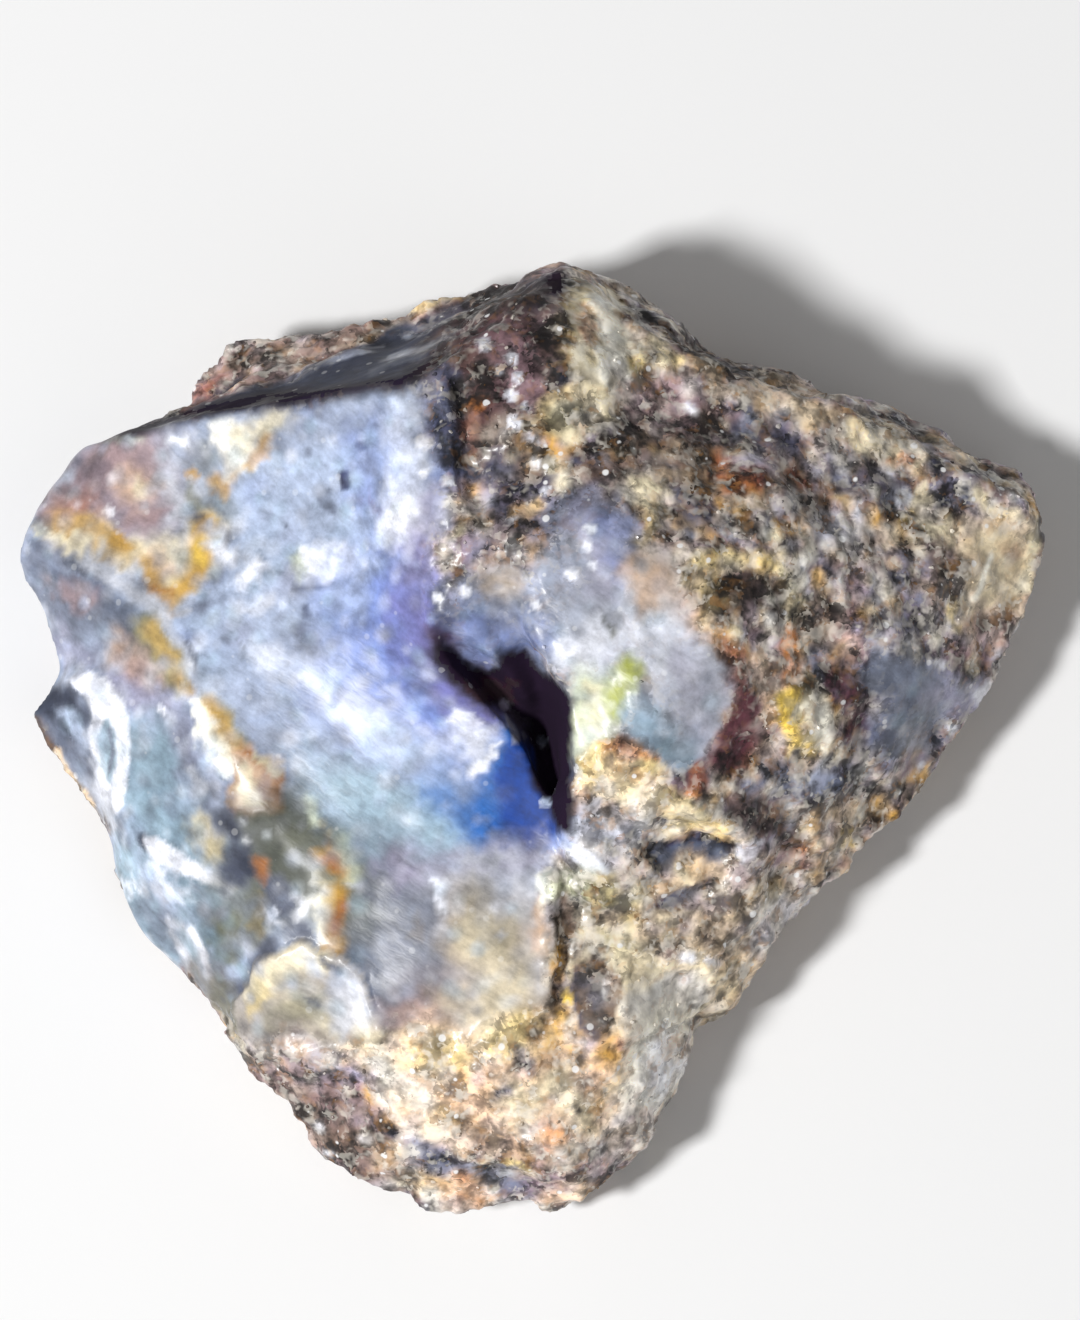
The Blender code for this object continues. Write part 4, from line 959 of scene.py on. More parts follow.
@dataclass(frozen=True)
class Span:
    """A stretch of one value, and the stretch of another value that it turns into."""

    start: float
    end: float
    low: float = 0.0
    high: float = 1.0

    def of(self, source: bpy.types.NodeSocket) -> dict[int, bpy.types.NodeSocket | float]:
        """Gives the inputs that turn a source's value into the other one."""
        return {0: source, 1: self.start, 2: self.end, 3: self.low, 4: self.high}


@dataclass(frozen=True)
class Swirl:
    """Noise of one size."""

    size: float  # the width of a swell
    detail: float  # how many finer octaves it has
    rough: float = 0.5  # how strong those are

    def of(self, place: bpy.types.NodeSocket) -> dict[str, bpy.types.NodeSocket | float]:
        """Gives the inputs that read the noise at a place."""
        return {"Vector": place, "Scale": 1 / self.size, "Detail": self.detail, "Roughness": self.rough}


@dataclass(frozen=True)
class Wobble:
    """Noise that moves a pattern about, so that it bends or crumbles."""

    swirl: Swirl
    reach: float  # how far it moves the pattern


@dataclass(frozen=True)
class Fleck:
    """One kind of small fleck in the rock."""

    colour: str
    channel: int  # the channel of the grains' pattern that it follows
    amount: Span  # how that channel turns into its strength


@dataclass(frozen=True)
class OpalInSandstone:
    """Common opal, broken with a conchoidal, waxy face, passing into coarse quartz sandstone.

    The opal is milky and smooth, with a soft gloss, faint clouds and fine ripples. The sandstone
    is a crowd of grains, each with its own tone, dull between them and glossy on a few. White glints,
    painted highlights, are mixed into the colour of both.
    """

    bend: Wobble = Wobble(Swirl(0.8 * MM, 1.0), 0.45 * MM)  # no grain or ripple runs straight
    crumble: Wobble = Wobble(Swirl(0.2 * MM, 0.0), 0.5 * MM)  # breaks up the blocks' edges
    grain: Swirl = Swirl(0.5 * MM, 1.0)  # coarse sand
    block: float = 0.8 * MM  # a few grains of one shade
    blocky: float = 0.32  # how much the blocks show among the grains
    patch: Swirl = Swirl(1.7 * MM, 4.0, 0.65)  # darker and paler patches of rock
    patchy: float = 0.66  # how much they show among the grains
    depth: Span = Span(0.39, 0.62, 0.13, 2.05)  # how dark or pale they turn the rock's tint
    calm: Span = Span(0.2, 0.75, 0.0, 0.6)  # pale rock varies less than dark rock
    calm_depth: float = 1.2  # and keeps nearer to this share of its tint
    fleck_share: Span = Span(0.0, 0.25, 0.35, 1.0)  # dark rock has fewer flecks
    flecks: tuple[Fleck, ...] = (
        Fleck("F3ECE0", 1, Span(0.58, 0.7, 0.0, 0.5)),  # white quartz
        Fleck("2A2226", 1, Span(0.4, 0.3, 0.0, 0.3)),  # black clay
        Fleck("B98342", 2, Span(0.6, 0.72, 0.0, 0.3)),  # rust
    )
    cloud: Swirl = Swirl(1.6 * MM, 5.0, 0.7)  # the opal's clouds
    ripple: Swirl = Swirl(0.45 * MM, 2.0, 0.6)  # the ripples of its break
    ripple_length: float = 3.5  # how many times longer than wide they are
    ripple_turn: float = math.radians(-34)  # the way they run across the face
    rippled: float = 0.35  # how much they show among the clouds
    milk: Span = Span(0.36, 0.64, 0.42, 0.86)  # how pale clouds and ripples turn its tint
    lift: Span = Span(0.35, 0.85, 1.0, 1.6)  # pale opal scatters more light back
    glint: float = 0.75 * MM  # how far apart the painted glints lie: white highlights of the break's tiny mirrors
    painted_glint_colour: str = "F8F8F8"
    glint_size: Span = Span(0.7, 1.0, 0.0, 0.3)  # only some cells get a painted glint
    glint_edge: Span = Span(0.0, 0.08, 0.0, 0.8)  # and each has a crisp edge
    glint_share: Span = Span(0.0, 1.0, 0.2, 1.0)  # fewer on opal than on rock
    dull: Span = Span(0.4, 0.6, 0.75, 0.3)  # the grains' roughness
    waxy: Span = Span(0.02, 0.2, 0.75, 0.38)  # the opal's roughness, dull where it is dark
    opal_bump: float = 0.1  # the ripples only dent the opal's shine
    rock_bump: float = 0.35  # the grains make the rock rough to the eye
    bump_height: float = 0.2 * MM
    coat: Span = Span(0.1, 0.4, 0.0, 0.14)  # a thin bright gloss on all that is pale
    coat_rough: float = 0.22
    ior: float = 1.45

    def material(self) -> bpy.types.Material:
        """Makes the stone's material."""
        material = bpy.data.materials.new("common_opal_in_sandstone")
        material.use_nodes = True
        tree = material.node_tree
        shader = tree.nodes["Principled BSDF"]
        place = add_node(tree, "ShaderNodeTexCoord").outputs["Object"]
        tint = add_node(tree, "ShaderNodeAttribute", attribute_name="tint").outputs["Color"]
        opal = add_node(tree, "ShaderNodeAttribute", attribute_name="opal_share").outputs["Fac"]
        rock = add_node(tree, "ShaderNodeMath", {0: 1.0, 1: opal}, operation="SUBTRACT").outputs[0]
        bright = add_node(tree, "ShaderNodeRGBToBW", {"Color": tint}).outputs[0]
        bent = self.shaken(tree, place, place, self.bend)
        fine = add_node(tree, "ShaderNodeTexNoise", self.grain.of(bent)).outputs["Color"]
        broken = self.shaken(tree, bent, place, self.crumble)
        whole = add_node(
            tree, "ShaderNodeTexVoronoi", {"Vector": broken, "Scale": 1 / self.block}
        ).outputs["Color"]
        grains = add_node(
            tree, "ShaderNodeMix", {0: self.blocky, 6: fine, 7: whole}, data_type="RGBA"
        ).outputs[2]
        shades = add_node(tree, "ShaderNodeSeparateColor", {"Color": grains}).outputs
        stretch = {"Rotation": (0.0, 0.0, self.ripple_turn), "Scale": (self.ripple_length, 1.0, 1.0)}
        along = add_node(
            tree, "ShaderNodeMapping", {"Vector": bent, **stretch}, vector_type="TEXTURE"
        ).outputs[0]
        ripples = add_node(tree, "ShaderNodeTexNoise", self.ripple.of(along)).outputs["Fac"]

        speckled = self.rock_colour(tree, place, tint, bright, shades)
        milky = self.opal_colour(tree, place, tint, bright, ripples)
        colour = add_node(
            tree, "ShaderNodeMix", {0: rock, 6: milky, 7: speckled}, data_type="RGBA"
        ).outputs[2]
        # painted highlights: white glint dots mixed into the base colour
        colour = self.painted_glints(tree, place, colour, rock)

        dull = add_node(tree, "ShaderNodeMapRange", self.dull.of(shades[1])).outputs[0]
        waxy = add_node(tree, "ShaderNodeMapRange", self.waxy.of(bright)).outputs[0]
        rough = add_node(tree, "ShaderNodeMix", {0: rock, 2: waxy, 3: dull}, data_type="FLOAT").outputs[0]
        heave = add_node(
            tree, "ShaderNodeMix", {0: rock, 2: self.opal_bump, 3: self.rock_bump}, data_type="FLOAT"
        ).outputs[0]
        coarse = add_node(tree, "ShaderNodeSeparateColor", {"Color": fine}).outputs[0]
        height = add_node(
            tree, "ShaderNodeMix", {0: rock, 2: ripples, 3: coarse}, data_type="FLOAT"
        ).outputs[0]
        bump = add_node(
            tree, "ShaderNodeBump", {"Strength": heave, "Distance": self.bump_height, "Height": height}
        ).outputs[0]
        coat = add_node(tree, "ShaderNodeMapRange", self.coat.of(bright)).outputs[0]
        wires = {"Base Color": colour, "Roughness": rough, "Normal": bump, "Coat Weight": coat}
        for socket, source in wires.items():
            tree.links.new(source, shader.inputs[socket])
        shader.inputs["IOR"].default_value = self.ior
        shader.inputs["Coat Roughness"].default_value = self.coat_rough
        return material

    def shaken(
        self,
        tree: bpy.types.NodeTree,
        base: bpy.types.NodeSocket,
        place: bpy.types.NodeSocket,
        wobble: Wobble,
    ) -> bpy.types.NodeSocket:
        """Moves a pattern's place about.

        Args:
            tree: The node tree.
            base: The place that moves.
            place: The place on the stone, where the noise is read.
            wobble: The noise.

        Returns:
            The moved place.
        """
        blur = add_node(tree, "ShaderNodeTexNoise", wobble.swirl.of(place)).outputs["Color"]
        shift = add_node(
            tree, "ShaderNodeVectorMath", {0: blur, "Scale": wobble.reach}, operation="SCALE"
        ).outputs[0]
        return add_node(tree, "ShaderNodeVectorMath", {0: base, 1: shift}, operation="ADD").outputs[0]

    def rock_colour(
        self,
        tree: bpy.types.NodeTree,
        place: bpy.types.NodeSocket,
        tint: bpy.types.NodeSocket,
        bright: bpy.types.NodeSocket,
        shades: Sequence[bpy.types.NodeSocket],
    ) -> bpy.types.NodeSocket:
        """Turns the tint into rock, patchy and flecked.

        Args:
            tree: The node tree.
            place: The place on the stone.
            tint: The mineral's tint there.
            bright: How bright the tint is.
            shades: The channels of the grains' pattern.

        Returns:
            The colour.
        """
        patch = add_node(tree, "ShaderNodeTexNoise", self.patch.of(place)).outputs["Fac"]
        both = add_node(
            tree, "ShaderNodeMix", {0: self.patchy, 2: shades[0], 3: patch}, data_type="FLOAT"
        ).outputs[0]
        depth = add_node(
            tree, "ShaderNodeMapRange", self.depth.of(both), interpolation_type="SMOOTHSTEP"
        ).outputs[0]
        calm = add_node(tree, "ShaderNodeMapRange", self.calm.of(bright)).outputs[0]
        depth = add_node(
            tree, "ShaderNodeMix", {0: calm, 2: depth, 3: self.calm_depth}, data_type="FLOAT"
        ).outputs[0]
        colour = add_node(
            tree, "ShaderNodeVectorMath", {0: tint, "Scale": depth}, operation="SCALE"
        ).outputs[0]
        share = add_node(tree, "ShaderNodeMapRange", self.fleck_share.of(bright)).outputs[0]
        for fleck in self.flecks:
            amount = add_node(tree, "ShaderNodeMapRange", fleck.amount.of(shades[fleck.channel])).outputs[0]
            amount = add_node(
                tree, "ShaderNodeMath", {0: amount, 1: share}, operation="MULTIPLY"
            ).outputs[0]
            colour = add_node(
                tree, "ShaderNodeMix", {0: amount, 6: colour, 7: linear(fleck.colour)}, data_type="RGBA"
            ).outputs[2]
        return colour

    def opal_colour(
        self,
        tree: bpy.types.NodeTree,
        place: bpy.types.NodeSocket,
        tint: bpy.types.NodeSocket,
        bright: bpy.types.NodeSocket,
        ripples: bpy.types.NodeSocket,
    ) -> bpy.types.NodeSocket:
        """Turns the tint into opal, cloudy and rippled.

        Args:
            tree: The node tree.
            place: The place on the stone.
            tint: The mineral's tint there.
            bright: How bright the tint is.
            ripples: The pattern of the ripples.

        Returns:
            The colour.
        """
        clouds = add_node(tree, "ShaderNodeTexNoise", self.cloud.of(place)).outputs["Fac"]
        veil = add_node(
            tree, "ShaderNodeMix", {0: self.rippled, 2: clouds, 3: ripples}, data_type="FLOAT"
        ).outputs[0]
        milk = add_node(tree, "ShaderNodeMapRange", self.milk.of(veil)).outputs[0]
        lift = add_node(tree, "ShaderNodeMapRange", self.lift.of(bright)).outputs[0]
        milk = add_node(tree, "ShaderNodeMath", {0: milk, 1: lift}, operation="MULTIPLY").outputs[0]
        return add_node(
            tree, "ShaderNodeVectorMath", {0: tint, "Scale": milk}, operation="SCALE"
        ).outputs[0]

    def painted_glints(
        self,
        tree: bpy.types.NodeTree,
        place: bpy.types.NodeSocket,
        colour: bpy.types.NodeSocket,
        rock: bpy.types.NodeSocket,
    ) -> bpy.types.NodeSocket:
        """Paints the tiny glints of crystals into the colour, as white highlights.

        Args:
            tree: The node tree.
            place: The place on the stone.
            colour: Its colour without them.
            rock: The share of rock.

        Returns:
            The colour.
        """
        stars = add_node(tree, "ShaderNodeTexVoronoi", {"Vector": place, "Scale": 1 / self.glint}).outputs
        chosen = add_node(tree, "ShaderNodeSeparateColor", {"Color": stars["Color"]}).outputs[0]
        size = add_node(tree, "ShaderNodeMapRange", self.glint_size.of(chosen)).outputs[0]
        star = add_node(
            tree, "ShaderNodeMath", {0: size, 1: stars["Distance"]}, operation="SUBTRACT"
        ).outputs[0]
        star = add_node(tree, "ShaderNodeMapRange", self.glint_edge.of(star)).outputs[0]
        shown = add_node(tree, "ShaderNodeMapRange", self.glint_share.of(rock)).outputs[0]
        star = add_node(tree, "ShaderNodeMath", {0: star, 1: shown}, operation="MULTIPLY").outputs[0]
        return add_node(
            tree, "ShaderNodeMix", {0: star, 6: colour, 7: linear(self.painted_glint_colour)}, data_type="RGBA"
        ).outputs[2]


@dataclass(frozen=True)
class ShadeAndCrackBlack:
    """A dull black for the faces painted darkest: mostly painted shade in the cleft, along the crests and
    under a ledge, and a few dark cracks and spots.
    """

    rough: float = 1.0
    specular: float = 0.12

    def material(self) -> bpy.types.Material:
        """Makes the material of the darkest painted faces."""
        material = bpy.data.materials.new("shade_and_crack_black")
        material.use_nodes = True
        tree = material.node_tree
        shader = tree.nodes["Principled BSDF"]
        tint = add_node(tree, "ShaderNodeAttribute", attribute_name="tint").outputs["Color"]
        tree.links.new(tint, shader.inputs["Base Color"])
        shader.inputs["Roughness"].default_value = self.rough
        shader.inputs["Specular IOR Level"].default_value = self.specular
        return material


@dataclass(frozen=True)
class WornQuartz:
    """Quartz sand, worn to a soft gloss: some grains clear and pale, some stained like the rock."""

    clear_colour: str = "E9E2D6"
    stained: Span = Span(0.0, 0.6, 0.45, 1.25)  # from dark grains to pale ones
    clear: Span = Span(0.55, 1.0, 0.0, 0.6)
    rough: Span = Span(0.0, 1.0, 0.45, 0.14)
    ior: float = 1.54

    def material(self) -> bpy.types.Material:
        """Makes the grains' material."""
        material = bpy.data.materials.new("quartz_sand")
        material.use_nodes = True
        tree = material.node_tree
        shader = tree.nodes["Principled BSDF"]
        tint = add_node(tree, "ShaderNodeAttribute", attribute_name="tint").outputs["Color"]
        shade = add_node(tree, "ShaderNodeAttribute", attribute_name="shade").outputs["Fac"]
        depth = add_node(tree, "ShaderNodeMapRange", self.stained.of(shade)).outputs[0]
        clear = add_node(tree, "ShaderNodeMapRange", self.clear.of(shade)).outputs[0]
        stained = add_node(
            tree, "ShaderNodeVectorMath", {0: tint, "Scale": depth}, operation="SCALE"
        ).outputs[0]
        colour = add_node(
            tree, "ShaderNodeMix", {0: clear, 6: stained, 7: linear(self.clear_colour)}, data_type="RGBA"
        ).outputs[2]
        rough = add_node(tree, "ShaderNodeMapRange", self.rough.of(shade)).outputs[0]
        tree.links.new(colour, shader.inputs["Base Color"])
        tree.links.new(rough, shader.inputs["Roughness"])
        shader.inputs["IOR"].default_value = self.ior
        return material


@dataclass(frozen=True)
class MattPaper:
    """White uncoated paper for the floor, which shows no shine."""

    colour: str = "EEEEEE"
    rough: float = 0.9

    def material(self) -> bpy.types.Material:
        """Makes the paper's material."""
        material = bpy.data.materials.new("matt_white_paper")
        material.use_nodes = True
        shader = material.node_tree.nodes["Principled BSDF"]
        shader.inputs["Base Color"].default_value = linear(self.colour)
        shader.inputs["Roughness"].default_value = self.rough
        return material


@dataclass
class Stone:
    """The whole stone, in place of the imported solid."""

    view: View
    crease: float = math.radians(38)  # arrises sharper than this stay crisp
    voxel: float = 0.235 * MM
    calmed: tuple[float, int] = (0.5, 6)  # how hard and how often the opal's skin is smoothed
    rest: float = 0.12 * MM  # whatever lies lower than this is the flat underside
    fade: float = 0.8 * MM  # the relief comes in over this height above it
    lump: tuple[float, float] = (2.0 * MM, 0.8 * MM)  # size and height of the rock's lumps
    knob: tuple[float, float] = (0.75 * MM, 0.5 * MM)  # and of the knobs on them
    swell: tuple[float, float] = (2.2 * MM, 0.10 * MM)  # and of the opal's swell
    proud: float = 0.8 * MM  # the height that a full weight of stroke relief stands for
    fade_out: float = 22.0  # the width over which opal passes into rock, in the view's units
    foot: tuple[float, float] = (2.2 * MM, 0.8 * MM)  # all is rock below this height, and the run to opal
    bare: tuple[float, float] = (0.8 * MM, 0.8 * MM)  # no sand below this height, and the run to all of it
    murky: float = 0.035  # faces painted darker than this, mostly painted shade, take the dull black material
    unlit: tuple[float, float] = (0.045, 0.15)  # the last dabs stay off whatever is painted as dark as this, the painted shade above all
    broad: float = 2.4 * MM  # the width of the swells of colour
    wide: float = 5 * MM  # and of the wider ones of the rock
    taupe: tuple[float, float] = (0.5, 1.2)  # the ground's share of taupe, and how far swells move it
    mauve: tuple[float, float] = (0.3, 0.7)  # its share of mauve between swells, and at most
    sky: tuple[float, float] = (0.4, 0.8)  # the opal's share of pale sky, and how far swells move it
    topping: tuple[float, float] = (0.7, 0.25)  # how strong the last dabs are on opal and on rock
    sandy: tuple[float, float] = (0.3, 1.6)  # the share of sand, and how far swells move it
    # how mineral edges wander: the size of a sway, and its reach in the view's units
    stray: tuple[tuple[float, float], ...] = ((2.0 * MM, 14.0), (0.55 * MM, 8.0))

    def build(self) -> bpy.types.Object:
        """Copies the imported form, refines it, breaks up its skin and paints it."""
        solid = bpy.data.objects[NODE]
        stone = bpy.data.objects.new("opal_and_sandstone", solid.data.copy())
        bpy.context.scene.collection.objects.link(stone)
        stone.data.materials.clear()
        self.refine(stone)
        self.relieve(stone)
        self.paint(stone)
        stone.data.materials.append(OpalInSandstone().material())
        stone.data.materials.append(ShadeAndCrackBlack().material())
        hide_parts(NODE)
        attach(stone, "root")
        return stone

    def refine(self, stone: bpy.types.Object) -> None:
        """Merges the copy, rounds it between its arrises and gives it an even fine mesh."""
        select_only(stone)
        bpy.ops.object.mode_set(mode="EDIT")
        bpy.ops.mesh.select_all(action="SELECT")
        bpy.ops.mesh.remove_doubles(threshold=0.0001 * MM)
        bpy.ops.mesh.select_mode(type="EDGE")
        bpy.ops.mesh.select_all(action="DESELECT")
        bpy.ops.mesh.edges_select_sharp(sharpness=self.crease)
        bpy.ops.transform.edge_crease(value=1.0)
        bpy.ops.object.mode_set(mode="OBJECT")
        rounded = stone.modifiers.new("rounded", "SUBSURF")
        rounded.levels = rounded.render_levels = 2
        bpy.ops.object.modifier_apply(modifier=rounded.name)
        even = stone.modifiers.new("even", "REMESH")
        even.mode = "VOXEL"
        even.voxel_size = self.voxel
        bpy.ops.object.modifier_apply(modifier=even.name)

    def relieve(self, stone: bpy.types.Object) -> None:
        """Raises lumps and grains on the rock, a faint swell on the opal, and the strokes' relief."""
        points, normals = places(stone), directions(stone)
        opal, proud = self.bodies(points, normals)
        standing = ramp(points[:, 2], self.rest, self.fade)
        groups = {
            "rock": (1 - opal) * standing,
            "rock knobs": (1 - opal) * standing,
            "opal": opal * standing,
            "raised": np.clip(proud / self.proud, 0, 1) * standing,
            "sunk": np.clip(-proud / self.proud, 0, 1) * standing,
        }
        for name, weights in groups.items():
            add_group(stone, name, weights)
        smooth = stone.modifiers.new("smooth", "SMOOTH")
        smooth.factor, smooth.iterations = self.calmed
        smooth.vertex_group = "opal"
        bpy.ops.object.modifier_apply(modifier=smooth.name)
        self.displace(stone, "rock", "CLOUDS", *self.lump)
        self.displace(stone, "rock knobs", "CLOUDS", *self.knob)
        self.displace(stone, "opal", "CLOUDS", *self.swell)
        self.displace(stone, "raised", None, 0.0, self.proud)
        self.displace(stone, "sunk", None, 0.0, -self.proud)
        points = places(stone)
        points[points[:, 2] < self.rest, 2] = 0.0
        stone.data.vertices.foreach_set("co", points.ravel())
        stone.data.update()
        self.thin_underside(stone)
        select_only(stone)
        bpy.ops.object.shade_smooth()

    def displace(
        self, stone: bpy.types.Object, group: str, pattern: str | None, size: float, height: float
    ) -> None:
        """Displaces one group of the skin along its normals.

        Args:
            stone: The object.
            group: The vertex group that says where and how much.
            pattern: The kind of texture that shapes it, or none for an even shift.
            size: The texture's grain.
            height: The full height.
        """
        shift = stone.modifiers.new(group, "DISPLACE")
        shift.strength = height
        shift.vertex_group = group
        if pattern:
            texture = bpy.data.textures.new(f"{group} {pattern.lower()}", pattern)
            texture.noise_scale = size
            shift.texture = texture
            shift.texture_coords = "LOCAL"
            shift.mid_level = 0.5
        else:
            shift.mid_level = 0.0
        bpy.ops.object.modifier_apply(modifier=shift.name)

    def thin_underside(self, stone: bpy.types.Object) -> None:
        """Joins the many small faces of the flat underside, which need no detail."""
        heights = places(stone)[:, 2]
        mesh = stone.data
        flat = [all(heights[i] == 0 for i in face.vertices) for face in mesh.polygons]
        select_only(stone)
        bpy.ops.object.mode_set(mode="EDIT")
        bpy.ops.mesh.select_mode(type="FACE")
        bpy.ops.mesh.select_all(action="DESELECT")
        bpy.ops.object.mode_set(mode="OBJECT")
        mesh.polygons.foreach_set("select", flat)
        bpy.ops.object.mode_set(mode="EDIT")
        bpy.ops.mesh.dissolve_faces(use_verts=True)
        bpy.ops.mesh.quads_convert_to_tris()
        bpy.ops.object.mode_set(mode="OBJECT")

    def bodies(self, points: np.ndarray, normals: np.ndarray) -> tuple[np.ndarray, np.ndarray]:
        """Says where the stone is opal, and how far its strokes stand proud.

        Args:
            points: The corners of the skin.
            normals: Their directions.

        Returns:
            The share of opal and the height in metres, for each corner.
        """
        seen, drift = self.view.seen(points), self.drift(points, 0)
        away = distance_to(seen + drift, OPAL_FACE + OPAL_FACE[:1]) / self.fade_out
        opal = np.clip(0.5 + np.where(within(seen + drift, OPAL_FACE), away, -away), 0, 1)
        opal *= ramp(points[:, 2], *self.foot)
        proud = np.zeros(len(points))
        turned = self.view.facing(normals)
        for stroke in STROKES:
            near, share = stroke.cover(seen, drift, turned)
            if stroke.body is not Body.STAIN:
                opal[near] += (stroke.body.value - opal[near]) * share * stroke.strength
            proud[near] += stroke.relief * MM * share
        return opal, proud

    def drift(self, points: np.ndarray, number: int) -> np.ndarray:
        """Says how far a mineral edge strays at each point, across and down in the frame.

        Args:
            points: The corners of the skin.
            number: Which of the unlike noise fields to start from.

        Returns:
            The two shifts, one row for each point.
        """
        sway = [
            reach * np.stack([field(points, size, number + 2 * i + j) for j in (0, 1)], axis=1)
            for i, (size, reach) in enumerate(self.stray)
        ]
        return np.sum(sway, axis=0)

    def ground(self, points: np.ndarray, opal: np.ndarray, broad: np.ndarray) -> np.ndarray:
        """Gives the colours that lie below all dabs and strokes, which the hidden sides keep.

        Args:
            points: The corners of the skin.
            opal: Their shares of opal.
            broad: The broad swells of colour.

        Returns:
            A linear colour for each corner.
        """
        middle, swing = self.taupe
        rock = blend(Tint.UMBER, Tint.TAUPE, middle + swing * field(points, self.wide, 14))
        middle, most = self.mauve
        mauve = np.clip(middle + broad, 0, most)[:, None]
        rock += (np.array(linear(Tint.MAUVE.value)) - rock) * mauve
        middle, swing = self.sky
        milk = blend(Tint.MILK_BLUE, Tint.PALE_SKY, middle + swing * broad)
        return rock + (milk - rock) * opal[:, None]

    def paint(self, stone: bpy.types.Object) -> None:
        """Gives each corner its mineral colour, with the strokes' painted shade and highlights, its share
        of opal and its share of sand, and puts the darkest faces on the dull black material.
        """
        points, normals = places(stone), directions(stone)
        seen, drift = self.view.seen(points), self.drift(points, 0)
        opal, _ = self.bodies(points, normals)
        broad = field(points, self.broad, 12)
        skin = KDTree(len(points))
        for index, point in enumerate(points):
            skin.insert(point, index)
        skin.balance()
        colour = self.ground(points, opal, broad)
        for number, mottle in enumerate((ROCK_LUMPS, ROCK_GRAINS, OPAL_CLOUDS, OPAL_SPECKS)):
            mottle.dab(skin, points, colour, opal, number)
        turned = self.view.facing(normals)
        for stroke in STROKES:
            near, share = stroke.cover(seen, drift, turned)
            share = share[:, None] * stroke.strength
            colour[near] += (np.array(linear(stroke.tint.value)) - colour[near]) * share
        lit = ramp(colour[:, 1], *self.unlit)
        on_opal, on_rock = self.topping
        OPAL_SPECKS.dab(skin, points, colour, on_opal * opal * lit, 11)
        ROCK_GRAINS.dab(skin, points, colour, 1 - on_rock * (1 - opal) * lit, 12)
        colour[:, 3] = 1.0
        # the faces painted darkest, mostly painted shade, take the dull black material
        dark = colour[:, :3].max(axis=1) < self.murky
        black_faces = [1 if dark[list(face.vertices)].all() else 0 for face in stone.data.polygons]
        stone.data.polygons.foreach_set("material_index", black_faces)
        add_attribute(stone, "tint", "FLOAT_COLOR", "color", colour)
        add_attribute(stone, "opal_share", "FLOAT", "value", opal)
        middle, swing = self.sandy
        sandy = np.clip(middle + swing * broad, 0, 1)
        grit = (1 - opal) ** 2 * ramp(points[:, 2], *self.bare) * sandy
        add_attribute(stone, "grit", "FLOAT", "value", grit)


